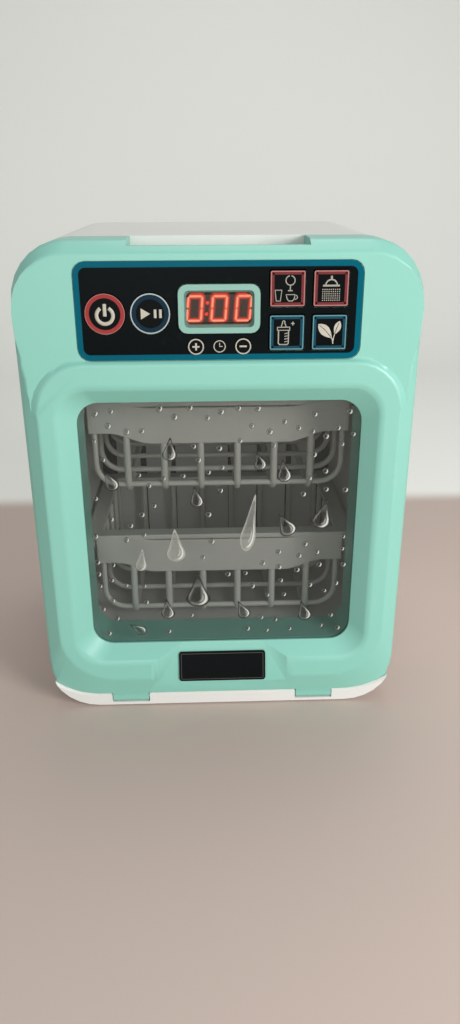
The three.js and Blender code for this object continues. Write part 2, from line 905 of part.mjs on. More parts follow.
function makeControls() {
  const film = cut(
    prism(filmOutline(0), filmFrontY, filmBackY),
    Object.values(keys).map((key) => prism(key.outline(keyHoleGap), panelY - overrun, cavityY)),
    prism(bezelOutline(keyHoleGap), panelY - overrun, cavityY),
  );
  piece("control_film", film, materials.black, hinged);
  for (const [name, key] of Object.entries(keys)) {
    const cap = join(
      prism(key.outline(0), filmFrontY - keyStand, cavityY + gap + keyFlange),
      prism(key.outline(keyLap), cavityY + gap, cavityY + gap + keyFlange),
    );
    piece(name, cap, materials.black, hinged);
  }
  const bezelFront = filmFrontY - bezelStand;
  const lensY = bezelFront + lensSink;
  const ledgeY = lensY + lensThickness + gap;
  const bezelBack = cavityY + gap + keyFlange;
  piece("display_bezel", cut(
    join(
      prism(bezelOutline(0), bezelFront, bezelBack),
      prism(bezelOutline(bezelLap), cavityY + gap, bezelBack),
    ),
    prism(lensOutline(0), bezelFront - overrun, ledgeY),
    prism(lensOutline(bezelLedge), bezelFront - overrun, bezelBack + overrun),
  ), materials.mint, hinged);
  piece("display_lens", prism(lensOutline(gap), lensY, lensY + lensThickness), materials.lens, hinged);
  const digits = prism(lensOutline(bezelLedge + gap + digitBlockInset), ledgeY + gap, boardY - gap);
  piece("display_module", digits, materials.black, hinged);

  const plungerTip = cavityY + gap + keyFlange + plungerReach;
  const switches = Object.values(keys).map(({ x, z }) => {
    const half = switchSize / 2;
    const face = boardY - switchHeight;
    return join(
      block(x - half, x + half, face, boardY + gap, z - half, z + half),
      rod(x, z, plungerRadius, Math.min(plungerTip, face - plungerHeight), face + gap, screwSides),
    );
  });
  const board = prism(rectangle(-boardHalf, boardHalf, boardLow, boardHigh), boardY, boardY + boardThickness);
  piece("circuit_board", join(board, switches), materials.board, hinged);
}

function makeBatteries() {
  piece("battery_tray", batteryTray(), materials.black, hinged);
  piece("battery_cover", cut(
    join(
      prism(trayOutline(batteryCoverLap - trayWall), innerPanelY, doorBackY),
      prism(coverTab(0), innerPanelY, doorBackY),
    ),
    rod(
      trayMiddleX, coverTabZ, screwHeadRadius + gap, doorBackY - screwHead, doorBackY + overrun, smallSides,
    ),
    rod(trayMiddleX, coverTabZ, screwRadius + gap, innerPanelY - overrun, doorBackY, screwSides),
  ), materials.mint, hinged);
  screw("battery_cover_screw", coverTabScrewLength,
    [trayMiddleX, doorBackY - screwHead + gap - coverTabScrewLength, coverTabZ], 0, hinged);
  const cellFoot = trayFoot + trayWall + traySideRoom + cellRadius;
  for (let i = 0; i < cellCount; i++) {
    const geometry = turned(
      [[0, 0], [cellRadius, 0], [cellRadius, cellLength], [cellNubRadius, cellLength],
        [cellNubRadius, cellLength + cellNub], [0, cellLength + cellNub]],
      smallSides,
    );
    const cell = new THREE.Mesh(geometry, materials.cell);
    cell.name = `battery_cell_${i + 1}`;
    const way = i % 2 ? 1 : -1;
    cell.rotation.z = (way * Math.PI) / 2;
    cell.position.set(
      trayMiddleX + (way * (cellLength + cellNub)) / 2, cellY - hingeY, cellFoot + i * cellPitch - hingeZ,
    );
    hinged.add(cell);
  }
  const inner = trayHalf - trayWall - gap;
  for (const [name, side] of [["left", -1], ["right", 1]]) {
    const x = trayMiddleX + side * (inner - contactThickness / 2);
    piece(`battery_contact_${name}`, block(
      x - contactThickness / 2, x + contactThickness / 2, cellY - cellRadius, cellY + cellRadius,
      trayFoot + trayWall + gap, trayFoot + trayHeight - trayWall - gap,
    ), materials.steel, hinged);
  }
  const back = innerPanelY - gap;
  piece("speaker", join(
    rod(speakerX, speakerZ, speakerRadius, back - speakerRim, back, smallSides),
    rod(speakerX, speakerZ, speakerMagnetRadius, back - speakerDepth, back, smallSides),
  ), materials.black, hinged);
}

function makeLatch() {
  const low = latchZ - latchHeight / 2;
  const high = latchZ + latchHeight / 2;
  const face = innerPanelY - gap;
  piece("latch_tongue", join(
    block(-latchHalf, latchHalf, face - latchFlange, doorBackY + latchReach, low, high),
    block(
      -latchHalf - latchLap, latchHalf + latchLap, face - latchFlange, face, low - latchLap, high + latchLap,
    ),
  ), materials.grey, hinged);
  const room = [-latchHalf - latchRoom, latchHalf + latchRoom];
  const back = cabinetFrontY + gap + flangeThickness + gap;
  piece("latch_catch", cut(
    block(
      room[0] - catchWall, room[1] + catchWall, back, back + catchDepth,
      low - latchRoom - catchWall, high + latchRoom + catchWall,
    ),
    block(room[0], room[1], back - overrun, back + catchDepth - catchWall, low - latchRoom, high + latchRoom),
  ), materials.grey);
}

// Where screws hold the rear cover, and where the tub stands on the base.
const coverScrewPlaces = [-1, 1].flatMap((side) =>
  [bossLow, height - bossTopInset].map((z) =>
    [side * (halfWidth - cabinetWall - bossRadius + screwSink), z]));
const legPlaces = [-1, 1].flatMap((side) =>
  [cabinetFrontY + legFrontInset / 2, backY - legBackInset].map((y) => [side * (tubHalf - legSideInset), y]));
const footPlaces = [-1, 1].flatMap((side) =>
  [baseFrontY + footInset, backY - footInset].map((y) => [side * (halfWidth - footSideInset), y]));

function makeCabinet() {
  const walls = cut(
    prism(bodyOutline(0), cabinetFrontY, coverY - gap),
    prism(bodyOutline(cabinetWall), cabinetFrontY - overrun, coverY + overrun),
  );
  const bosses = coverScrewPlaces.map(([x, z]) =>
    rod(x, z, bossRadius, coverY - gap - bossLength, coverY - gap, smallSides));
  const pilots = coverScrewPlaces.map(([x, z]) =>
    rod(x, z, screwRadius + gap, coverY - screwLength - gap, coverY + overrun, screwSides));
  const apron = block(
    -recessHalf - recessWall, recessHalf + recessWall, cabinetFrontY, cabinetFrontY + apronThickness,
    height - recessDepth - recessWall, height - cabinetWall / 2,
  );
  piece("cabinet_shell", cut(join(walls, bosses, apron).intersect(aboveSeam()), pilots), materials.white);

  const sheet = prism(bodyOutline(0), coverY, backY);
  const lip = cut(
    prism(bodyOutline(cabinetWall + gap), coverY - coverLip, coverY + gap),
    prism(bodyOutline(cabinetWall + gap + coverLipWall), coverY - coverLip - overrun, coverY + 2 * gap),
    coverScrewPlaces.map(([x, z]) =>
      rod(x, z, bossRadius + gap, coverY - bossLength, coverY, smallSides)),
  );
  const vents = [-1, 1].flatMap((side) =>
    Array.from({ length: ventCount }, (_, i) => {
      const z = ventLow + i * ventPitch;
      return block(
        side * ventX - ventHalf, side * ventX + ventHalf, coverY - overrun, backY + overrun,
        z - ventSlot / 2, z + ventSlot / 2,
      );
    }));
  const holes = coverScrewPlaces.map(([x, z]) => countersunk(x, z, backY, -1));
  piece("rear_cover", cut(join(sheet, lip).intersect(aboveSeam()), vents, holes), materials.white);
  coverScrewPlaces.forEach(([x, z], i) =>
    screw(`cover_screw_${i + 1}`, screwLength, [x, backY - screwSink - screwHead - screwLength, z], 0));
}

function makeTub() {
  const outline = (lap) =>
    frameOutline({
      half: tubHalf + lap, low: tubLow - lap, high: tubHigh + lap, cornerLow: tubCorner + lap,
    });
  const front = cabinetFrontY + gap;
  const shell = cut(
    join(
      prism(outline(tubWall), front, tubBackY + tubWall),
      prism(bodyOutline(cabinetWall + gap), front, front + flangeThickness).intersect(aboveSeam()),
    ),
    prism(outline(0), front - overrun, tubBackY),
  );
  const slats = Array.from({ length: slatCount }, (_, i) => {
    const x = (i - (slatCount - 1) / 2) * slatPitch;
    return block(
      x - slatWidth / 2, x + slatWidth / 2, tubBackY - slatStand, tubBackY + tubWall / 2,
      tubLow + slatFootRoom, tubHigh - slatTopRoom,
    );
  });
  const rails = [upperRackTop, lowerRackTop].flatMap((top) =>
    [-1, 1].map((side) => {
      const high = top - rackRimThickness - gap;
      const [x0, x1] = [side * (tubHalf - railReach), side * (tubHalf + tubWall / 2)].sort((a, b) => a - b);
      return block(x0, x1, front + flangeThickness, tubBackY + tubWall / 2, high - railThickness, high);
    }));
  const legs = legPlaces.map(([x, y]) =>
    rod(x, y, legRadius, baseTop + gap, tubLow - tubWall / 2, smallSides, "z"));
  const pilots = legPlaces.map(([x, y]) =>
    rod(x, y, screwRadius + gap, baseTop - overrun, baseTop + screwLength, screwSides, "z"));
  const latchSlot = block(
    -latchHalf - latchRoom, latchHalf + latchRoom, front - overrun, front + flangeThickness + overrun,
    latchZ - latchHeight / 2 - latchRoom, latchZ + latchHeight / 2 + latchRoom,
  );
  const apronRoom = block(
    -recessHalf - recessWall - gap, recessHalf + recessWall + gap, front - overrun,
    front + flangeThickness + overrun, height - recessDepth - recessWall - gap, height,
  );
  piece("tub", cut(join(shell, slats, rails, legs), pilots, latchSlot, apronRoom), materials.tub);
}

function makeBase() {
  const slab = cut(prism(bodyOutline(0), baseFrontY, backY), loft([
    { at: baseFrontY - overrun, points: seamOutline(gap + baseChamfer + overrun) },
    { at: baseFrontY + baseChamfer, points: seamOutline(gap) },
    { at: backY + overrun, points: seamOutline(gap) },
  ]));
  const well = block(
    baseSideWall - halfWidth, halfWidth - baseSideWall, baseFrontY + baseFrontWall, backY - baseBackWall,
    footStand + baseFloor, baseTop + overrun,
  );
  const bosses = legPlaces.map(([x, y]) =>
    rod(x, y, legRadius, footStand + baseFloor / 2, baseTop, smallSides, "z"));
  const notches = [-1, 1].map((side) =>
    block(
      side * tabMiddle - tabWidth / 2 - runningGap, side * tabMiddle + tabWidth / 2 + runningGap,
      baseFrontY - overrun, hingeY + hingeRadius + runningGap,
      hingeZ - hingeRadius - gap, baseTop + overrun,
    ));
  const pins = rodPair(hingePinRadius + gap, hingePinReach + gap);
  const screwHoles = legPlaces.map(([x, y]) =>
    join(
      rod(
        x, y, screwHeadRadius + gap, footStand - overrun, footStand + screwHead + screwSink, smallSides, "z",
      ),
      rod(x, y, screwRadius + gap, footStand, baseTop + overrun, screwSides, "z"),
    ));
  const footSeats = footPlaces.map(([x, y]) =>
    rod(x, y, footRadius + gap, footStand - overrun, footStand + footSink, smallSides, "z"));
  piece("base", cut(join(cut(slab, well), bosses), notches, pins, screwHoles, footSeats),
    materials.white);
  legPlaces.forEach(([x, y], i) =>
    screw(`base_screw_${i + 1}`, screwLength, [x, y, footStand + screwSink + screwHead + screwLength],
      -Math.PI / 2));
  footPlaces.forEach(([x, y], i) => {
    const foot = new THREE.Mesh(
      turned([[0, 0], [footRadius, 0], [footRadius, footStand + footSink - gap],
        [0, footStand + footSink - gap]], smallSides),
      materials.rubber,
    );
    foot.name = `foot_${i + 1}`;
    foot.rotation.x = Math.PI / 2;
    foot.position.set(x, y, 0);
    toy.add(foot);
  });
}

// Two rods on the hinge axis, each through a tab and into the base on both sides of it.
function rodPair(radius, reach) {
  return [-1, 1].map((side) => {
    const x0 = side * tabMiddle - tabWidth / 2 - runningGap - reach;
    return rod(hingeY, hingeZ, radius, x0, x0 + tabWidth + 2 * (runningGap + reach), smallSides, "x");
  });
}

function makeHingePins() {
  rodPair(hingePinRadius, hingePinReach).forEach((pin, i) =>
    piece(`hinge_pin_${["left", "right"][i]}`, pin, materials.steel));
}

// One rack: a wavy band in front, bars that run down, back and up again, and ribs from side to side.
function rack(top) {
  const front = doorBackY + rackSetBack;
  const back = tubBackY - rackBackGap;
  const bottom = top - rackHeight;
  const rimFoot = top - rackRimThickness;
  const wave = (x) => {
    const share = Math.min(Math.max((bandWaveStart - Math.abs(x)) / (bandWaveStart - bandWaveEnd), 0), 1);
    return share * share * (3 - 2 * share);
  };
  const waveSteps = 6;
  const upperEdge = [];
  const lowerEdge = [];
  const turns = Array.from({ length: waveSteps + 1 }, (_, i) =>
    bandWaveStart - ((bandWaveStart - bandWaveEnd) * i) / waveSteps);
  const stations = [rackBandHalf, ...turns, ...turns.map((x) => -x).reverse(), -rackBandHalf];
  for (const x of stations) {
    upperEdge.push([x, top - bandDip * wave(x)]);
    lowerEdge.push([x, top - bandDrop - (bandMiddleDrop - bandDrop) * wave(x)]);
  }
  const band = prism([...upperEdge, ...lowerEdge.reverse()], front, front + bandThickness);
  const rim = cut(
    prism(rectangle(-rackRimHalf, rackRimHalf, front + gap, back), rimFoot, top, "z"),
    prism(
      rectangle(rackRim + wire - rackRimHalf, rackRimHalf - rackRim - wire, front - overrun, back - rackRim),
      rimFoot - overrun, top + overrun, "z",
    ),
  );
  const rearBand = block(-rackBandHalf, rackBandHalf, back - bandThickness, back, top - rearBandDrop, top);
  const ribs = Array.from({ length: ribCount }, (_, i) => {
    const y = front + bandThickness + wire / 2 - gap
      + ((back - front - 2 * bandThickness - wire + 2 * gap) * i) / (ribCount - 1);
    return bar(
      valley(-rackHalf, rackHalf, top - rackRimThickness / 2, bottom + barWire + wire / 2 - gap, rackCorner),
      wire, y, "y",
    );
  });
  const bars = Array.from({ length: barCount }, (_, i) => {
    const x = (i - (barCount - 1) / 2) * slatPitch;
    return bar(
      valley(front + (barWire + gap) / 2, back - (barWire + gap) / 2, top - rearBandDrop / 2 - bandDip,
        bottom + barWire / 2, barCorner), barWire, x, "x",
    );
  });
  return join(band, rim, rearBand, ribs, bars);
}

function makeRacks() {
  piece("upper_rack", rack(upperRackTop), materials.grey);
  piece("lower_rack", rack(lowerRackTop), materials.grey);
}

makeDoor();
makeControls();
makeBatteries();
makeLatch();
makeCabinet();
makeTub();
makeBase();
makeHingePins();
makeRacks();

export default toy;
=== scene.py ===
import json
import math
import random
from contextlib import contextmanager

import bmesh
import bpy
from mathutils import Matrix, Vector

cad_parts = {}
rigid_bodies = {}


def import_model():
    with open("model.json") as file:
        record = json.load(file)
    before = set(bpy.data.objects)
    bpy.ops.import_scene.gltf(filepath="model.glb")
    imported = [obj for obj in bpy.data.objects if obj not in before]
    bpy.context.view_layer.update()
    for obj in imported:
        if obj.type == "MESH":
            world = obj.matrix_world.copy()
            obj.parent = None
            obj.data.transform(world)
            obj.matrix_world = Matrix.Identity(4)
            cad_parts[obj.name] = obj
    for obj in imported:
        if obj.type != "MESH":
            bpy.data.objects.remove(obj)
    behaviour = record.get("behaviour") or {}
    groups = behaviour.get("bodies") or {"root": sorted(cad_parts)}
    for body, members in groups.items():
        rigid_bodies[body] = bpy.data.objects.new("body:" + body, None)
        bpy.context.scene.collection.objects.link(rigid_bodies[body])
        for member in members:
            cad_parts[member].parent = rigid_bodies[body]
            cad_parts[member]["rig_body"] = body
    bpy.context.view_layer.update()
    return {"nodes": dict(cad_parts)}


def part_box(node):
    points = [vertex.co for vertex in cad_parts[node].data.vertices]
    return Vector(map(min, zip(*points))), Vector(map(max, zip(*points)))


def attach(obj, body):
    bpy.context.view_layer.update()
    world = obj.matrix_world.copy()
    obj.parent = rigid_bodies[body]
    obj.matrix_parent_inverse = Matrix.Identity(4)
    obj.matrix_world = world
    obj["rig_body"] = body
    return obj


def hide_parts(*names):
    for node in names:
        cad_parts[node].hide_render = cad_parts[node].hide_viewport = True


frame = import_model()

bl_info = {
    "name": "Toy dishwasher",
    "version": (1, 0, 0),
    "blender": (4, 5, 0),
    "location": "View3D > Sidebar > Toy dishwasher",
    "description": "Dresses the packed toy dishwasher: mouldings, racks, keys, display and window print",
    "category": "Add Mesh",
}


def mm(value):
    """Millimetres as metres."""
    return value / 1000


def tint(red, green, blue):
    """A colour written in 0 to 255, as the linear colour that Blender keeps."""
    shares = (red / 255, green / 255, blue / 255)
    return tuple(s / 12.92 if s <= 0.04045 else ((s + 0.055) / 1.055) ** 2.4 for s in shares)


def opaque(colour):
    """A colour with its alpha."""
    return (*colour, 1)[:4]


def measure(name, description, default):
    return bpy.props.FloatProperty(
        name=name, description=description, default=mm(default), min=0, subtype="DISTANCE", unit="LENGTH",
    )


def shade(name, description, default):
    return bpy.props.FloatVectorProperty(
        name=name, description=description, default=default, size=3, min=0, max=1, subtype="COLOR",
    )


class DishwasherSizes(bpy.types.PropertyGroup):
    """Sizes that the mouldings, racks and prints share."""

    frame_roll: measure("Window frame roll", "Radius between the door's land and the window slope", 2.6)
    step_roll: measure("Step roll", "Radius on the step between the land and the upper face", 1.3)
    side_roll: measure("Side roll", "Radius between the door's slope and its sides", 2.6)
    cabinet_rounding: measure("Cabinet edges", "Radius on the edges of the cabinet and the base", 0.8)
    key_rounding: measure("Key edges", "Radius round the front of each key", 0.35)
    rod: measure("Rack rod", "Thickness of the round cross rods of the racks", 3.8)
    bar: measure("Rack bar", "Thickness of the round bars from front to back", 4.6)
    rim_width: measure("Rack rim width", "Width of the flat rim round the top of a rack", 7.0)
    rim_thickness: measure("Rack rim thickness", "Thickness of that rim", 3.5)
    rim_reach: measure("Rack rim reach", "How far the rim stands out past the rods", 10.0)
    band_reach: measure("Rack band reach", "How far the front band stands in from the rim's sides", 6.5)
    band_thickness: measure("Rack band thickness", "Thickness of the wavy front band", 2.5)
    rod_bend: measure("Rack rod bend", "Radius of the bends in the cross rods", 14.0)
    bar_bend: measure("Rack bar bend", "Radius of the small bends in the long bars", 8.0)
    ink: measure("Ink", "Thickness of the printed ink", 0.07)
    bead: measure("Drop bead", "Diameter of a round printed water drop", 3.9)
    border: measure("Panel border", "Width of the teal line round the control panel", 3.2)
    digit_width: measure("Digit width", "Width of a display digit", 7.7)
    digit_height: measure("Digit height", "Height of a display digit", 13.2)
    segment: measure("Segment", "Thickness of a display segment", 1.7)


class DishwasherColours(bpy.types.PropertyGroup):
    """Colours of the plastics, inks and lights."""

    bezel: shade("Bezel", "Frame round the display", tint(132, 178, 164))
    mint: shade("Mint", "Door plastic", tint(136, 198, 182))
    white: shade("White", "Cabinet and base plastic", tint(222, 221, 216))
    tub: shade("Tub", "Tub plastic", tint(214, 214, 208))
    rack: shade("Rack", "Rack plastic", tint(206, 207, 198))
    film: shade("Film", "Black of the control panel", tint(10, 15, 16))
    teal: shade("Teal", "Line round the control panel", tint(4, 90, 108))
    key: shade("Key", "Black of the keys", tint(9, 13, 14))
    dark: shade("Dark plastic", "Battery tray and latch catch", tint(60, 62, 60))
    ink: shade("Ink", "Light ink of the symbols", tint(188, 183, 168))
    dim_ink: shade("Dim ink", "Ink of the finer symbols on the square keys", tint(160, 158, 146))
    red: shade("Red ring", "Ring of the power key", tint(152, 56, 54))
    blue: shade("Blue band", "Band of the play key", tint(12, 40, 56))
    rose: shade("Rose line", "Outer line of the upper square keys", tint(172, 116, 112))
    rose_band: shade("Rose band", "Inner band of the upper square keys", tint(112, 46, 48))
    sea: shade("Sea line", "Outer line of the lower square keys", tint(96, 144, 150))
    sea_band: shade("Sea band", "Inner band of the lower square keys", tint(14, 66, 82))
    pale: shade("Pale line", "Outer line of the play key", tint(176, 186, 186))
    pane: shade("Pane", "Smoke of the window pane", tint(46, 49, 47))
    lens: shade("Lens", "Smoke of the display lens", tint(70, 52, 44))
    glow: shade("Glow", "Light round the display's segments", tint(255, 56, 24))
    core: shade("Core", "Light of the segments", tint(255, 178, 138))
    rubber: shade("Rubber", "Feet", tint(52, 52, 54))
    board: shade("Board", "Circuit board", tint(30, 92, 58))
    steel: shade("Steel", "Screws, pins and contacts", tint(176, 176, 178))


def sizes():
    return bpy.context.scene.dishwasher_sizes


def colours():
    return bpy.context.scene.dishwasher_colours


# Shades that no setting changes
SCUFF = (0.75, 0.75, 0.74)
# Painted shade: the near black that is painted into the tub's grooves between its slats
GROOVE_SHADE = tint(22, 21, 21)
PLATE_LINE = tint(86, 84, 78)
PANE_SMEAR = tint(58, 61, 58)
LENS_CLOUD = tint(58, 44, 38)
DROP_DARK, DROP_PALE, DROP_BRIGHT = tint(34, 36, 34), tint(158, 160, 152), tint(206, 208, 200)
MODULE, SEGMENT = tint(62, 46, 36), tint(120, 30, 20)
CELL_BAND, CELL_WRAP, CELL_END = tint(190, 150, 88), tint(40, 44, 50), tint(180, 180, 180)
TRACKS = tint(66, 132, 84)
CONE_DARK, CONE_PALE = tint(22, 22, 24), tint(46, 46, 50)
TABLE, BACKDROP, ROOM = tint(196, 178, 168), tint(246, 247, 240), tint(226, 228, 230)


# Wiring of materials

class Wiring:
    """Adds nodes to one tree and joins them."""

    def __init__(self, tree):
        self.tree = tree

    def add(self, kind, **settings):
        node = self.tree.nodes.new(kind)
        for name, value in settings.items():
            setattr(node, name, value)
        return node

    def join(self, source, target):
        """Joins a socket to an input, or sets the input to a value."""
        if isinstance(source, bpy.types.NodeSocket):
            self.tree.links.new(source, target)
        else:
            target.default_value = opaque(source) if target.type == "RGBA" else source

    def fill(self, node, values):
        """Joins or sets several inputs of a node, and gives back its outputs."""
        for name, value in values.items():
            self.join(value, node.inputs[name])
        return node.outputs

    def group(self, name, values):
        """Places a shared group with these values, and gives back its outputs."""
        return self.fill(self.add("ShaderNodeGroup", node_tree=shared_group(name)), values)

    def math(self, operation, *values, clamp=False):
        node = self.add("ShaderNodeMath", operation=operation, use_clamp=clamp)
        return self.fill(node, dict(enumerate(values)))[0]

    def times(self, first, second):
        return self.math("MULTIPLY", first, second)

    def less(self, first, second):
        return self.math("SUBTRACT", first, second)

    def ease(self, value, low, high):
        """0 below low, 1 above high, and a smooth rise between."""
        node = self.add("ShaderNodeMapRange", interpolation_type="SMOOTHSTEP")
        return self.fill(node, {"Value": value, "From Min": low, "From Max": high})["Result"]

    def fade(self, value, low, high):
        """1 below low, 0 above high, and a smooth fall between."""
        return self.less(1.0, self.ease(value, low, high))

    def length(self, across, up):
        return self.math("SQRT", self.math("ADD", self.times(across, across), self.times(up, up)))

    def mix(self, factor, first, second):
        return self.fill(self.add("ShaderNodeMix", data_type="RGBA"), {0: factor, 6: first, 7: second})[2]

    def noise(self, coordinates, scale, detail=3.0, roughness=0.5):
        return self.fill(self.add("ShaderNodeTexNoise"), {
            "Vector": coordinates, "Scale": scale, "Detail": detail, "Roughness": roughness,
        })["Fac"]

    def split(self, vector):
        return self.fill(self.add("ShaderNodeSeparateXYZ"), {0: vector})

    def place(self):
        return self.add("ShaderNodeTexCoord").outputs["Object"]


def moulded_skin(w, given, out):
    """Colour, roughness and fine relief of moulded plastic, which drift a little over the surface."""
    place = w.place()
    drift = w.less(w.noise(place, given["Patch scale"], detail=2.0), 0.5)
    level = w.math("MULTIPLY_ADD", drift, given["Colour drift"], 1.0)
    scaled = w.fill(w.add("ShaderNodeVectorMath", operation="SCALE"), {0: given["Colour"], "Scale": level})
    streaks = w.noise(place, w.times(given["Patch scale"], 9.0), detail=6.0, roughness=0.7)
    scuff = w.times(w.ease(streaks, 0.58, 0.74), given["Scuffs"])
    rough = w.math("ADD", given["Roughness"], w.times(drift, given["Roughness drift"]))
    w.fill(out, {
        "Colour": w.mix(scuff, scaled[0], SCUFF),
        "Roughness": w.math("ADD", rough, w.times(scuff, 0.5), clamp=True),
        "Grain": w.noise(place, given["Grain scale"], detail=2.0),
    })


def rounded_box_distance(w, given, out):
    """Distance in metres from the edge of a rounded rectangle in the front plane, negative inside."""
    x, _, z = w.split(w.place())
    up = w.less(z, given["Centre Z"])
    across = w.less(w.less(x, given["Centre X"]), w.times(up, given["Slant"]))
    past = [
        w.less(w.math("ABSOLUTE", value), w.less(given[half], given["Corner"]))
        for value, half in ((across, "Half width"), (up, "Half height"))
    ]
    outside = w.length(*(w.math("MAXIMUM", value, 0.0) for value in past))
    inside = w.math("MINIMUM", w.math("MAXIMUM", *past), 0.0)
    w.fill(out, {"Distance": w.less(w.math("ADD", outside, inside), given["Corner"])})


def water_print(w, given, out):
    """A printed water drop on the piece's own UV map: bright crescents, a dark edge and a clear middle.

    Reach is 0 in the drop's middle and 1 at its rim. Facing is high on the right and low on the left.
    """
    u, v, _ = w.split(w.add("ShaderNodeUVMap").outputs[0])
    across = w.math("MULTIPLY_ADD", u, 2.0, -1.0)
    up = w.math("MULTIPLY_ADD", v, 2.0, -1.0)
    reach = w.length(across, up)
    facing = w.math("ADD", w.times(across, 0.85), w.times(up, -0.3))
    line_end, line_blend = 0.86, 0.12
    inner = w.less(line_end, given["Line"])
    line = w.times(w.ease(reach, w.less(inner, line_blend), inner), w.fade(reach, 0.8, 0.9))
    lit = w.math("MAXIMUM", w.ease(facing, 0.0, 0.6), w.times(w.ease(facing, -0.5, -0.9), 0.6))
    crescents = w.times(line, w.math("MULTIPLY_ADD", lit, 0.8, 0.2))
    glint = w.times(w.times(w.ease(reach, 0.3, 0.4), w.fade(reach, 0.5, 0.62)), w.ease(facing, 0.05, 0.4))
    bright = w.math("MAXIMUM", crescents, w.times(glint, 0.6), clamp=True)
    edge = w.fade(reach, 0.97, 1.0)
    cover = w.math("MAXIMUM", bright, w.times(given["Middle"], edge))
    w.fill(out, {
        "Colour": w.mix(bright, given["Dark"], given["Bright"]),
        "Cover": w.math("MAXIMUM", cover, w.times(w.ease(reach, 0.84, 0.92), edge)),
    })


# What wires each shared group, its inputs with their defaults, and its outputs
GROUPS = {
    "Moulded skin": (
        moulded_skin,
        {"Colour": (0.5, 0.5, 0.5, 1), "Colour drift": 0.06, "Patch scale": 22.0, "Grain scale": 1800.0,
         "Roughness": 0.4, "Roughness drift": 0.1, "Scuffs": 0.1},
        ("Colour", "Roughness", "Grain"),
    ),
    "Rounded box distance": (
        rounded_box_distance,
        {"Centre X": 0.0, "Centre Z": 0.0, "Half width": 0.1, "Half height": 0.1, "Corner": 0.01,
         "Slant": 0.0},
        ("Distance",),
    ),
    "Water print": (
        water_print,
        {"Dark": (0.02, 0.02, 0.02, 1), "Bright": (0.7, 0.7, 0.7, 1), "Middle": 0.4, "Line": 0.16},
        ("Colour", "Cover"),
    ),
}


def shared_group(name):
    """The node group of this name, wired the first time that it is asked for."""
    made = bpy.data.node_groups.get(name)
    if made:
        return made
    wire, inputs, outputs = GROUPS[name]
    tree = bpy.data.node_groups.new(name, "ShaderNodeTree")
    for label, default in inputs.items():
        kind = "NodeSocketColor" if isinstance(default, tuple) else "NodeSocketFloat"
        tree.interface.new_socket(label, in_out="INPUT", socket_type=kind).default_value = default
    for label in outputs:
        kind = "NodeSocketColor" if label == "Colour" else "NodeSocketFloat"
        tree.interface.new_socket(label, in_out="OUTPUT", socket_type=kind)
    w = Wiring(tree)
    wire(w, w.add("NodeGroupInput").outputs, w.add("NodeGroupOutput"))
    return tree


def box_distance(w, low, high, corner, slant=0.0):
    """Distance from a rounded rectangle between two corners."""
    middle, half = (low + high) / 2, (high - low) / 2
    return w.group("Rounded box distance", {
        "Centre X": middle.x, "Centre Z": middle.z, "Half width": half.x, "Half height": half.z,
        "Corner": corner, "Slant": slant,
    })["Distance"]


def skin(w, shader, colour, roughness=0.4, drift=0.06, patch=22.0, grain=1800.0, relief=0.02,
         rough_drift=0.1, scuffs=0.1, gloss=0.5):
    """Feeds a shader from the moulded skin, whose relief is in millimetres."""
    made = w.group("Moulded skin", {
        "Colour": colour, "Colour drift": drift, "Patch scale": patch, "Grain scale": grain,
        "Roughness": roughness, "Roughness drift": rough_drift, "Scuffs": scuffs,
    })
    bump = w.fill(w.add("ShaderNodeBump"), {"Strength": 0.6, "Distance": mm(relief), "Height": made["Grain"]})
    w.fill(shader, {
        "Base Color": made["Colour"], "Roughness": made["Roughness"], "Normal": bump[0],
        "Specular IOR Level": gloss,
    })


def plain(colour, **look):
    """The wiring of a moulded plastic in one colour of the settings."""
    return lambda w, shader: skin(w, shader, getattr(colours(), colour), **look)


def ink(colour):
    """The wiring of a printed ink in one colour of the settings."""
    return plain(colour, roughness=0.5, drift=0.12, patch=160.0, relief=0.004, scuffs=0.0, gloss=0.12)


def tub_skin(w, shader):
    """Grey tub whose grooves, behind the slats of its back wall, are painted nearly black as the shade that
    falls deep in them.
    """
    wall, half_slat, blend = mm(1.8), mm(1.5), mm(0.4)
    slat_foot, slat_foot_end = mm(34), mm(36)
    _, y, z = w.split(w.place())
    low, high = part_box("tub")
    face = high.y - wall - half_slat
    # Painted shade: the grooves deep behind the slats, above their foot, get near black in place of the tub's
    # grey
    deep = w.ease(y, face - blend, face + blend)
    groove_shade = w.times(deep, w.ease(z, low.z + slat_foot, low.z + slat_foot_end))
    skin(w, shader, w.mix(groove_shade, colours().tub, GROOVE_SHADE), roughness=0.5, drift=0.12, patch=16.0,
         relief=0.004, scuffs=0.02)


def film_skin(w, shader):
    """Black film with a teal line round its edge."""
    corner, blend, width = mm(7), mm(0.15), sizes().border
    edge = box_distance(w, *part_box("control_film"), corner)
    line = w.ease(edge, -width - blend, -width + blend)
    skin(w, shader, w.mix(line, colours().film, colours().teal), roughness=0.26, drift=0.2, patch=14.0,
         relief=0.002, scuffs=0.006, gloss=0.04)


def plate_skin(w, shader):
    """Black plate with a thin printed line just inside its edge."""
    corner, line_inset, line_half, blend = mm(2), mm(1.5), mm(0.1), mm(0.2)
    edge = box_distance(w, *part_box("name_plate"), corner)
    line = w.fade(w.math("ABSOLUTE", w.math("ADD", edge, line_inset)), line_half, blend)
    skin(w, shader, w.mix(line, colours().key, PLATE_LINE), roughness=0.3, drift=0.25, patch=50.0,
         relief=0.003, scuffs=0.006, gloss=0.06)


def pane_skin(w, shader):
    """Smoke-grey clear plastic with faint smears in its gloss."""
    smears = w.noise(w.place(), 24.0, detail=5.0, roughness=0.6)
    w.fill(shader, {
        "Base Color": w.mix(smears, colours().pane, PANE_SMEAR),
        "Roughness": w.math("MULTIPLY_ADD", smears, 0.12, 0.1),
        "Alpha": 0.24,
    })


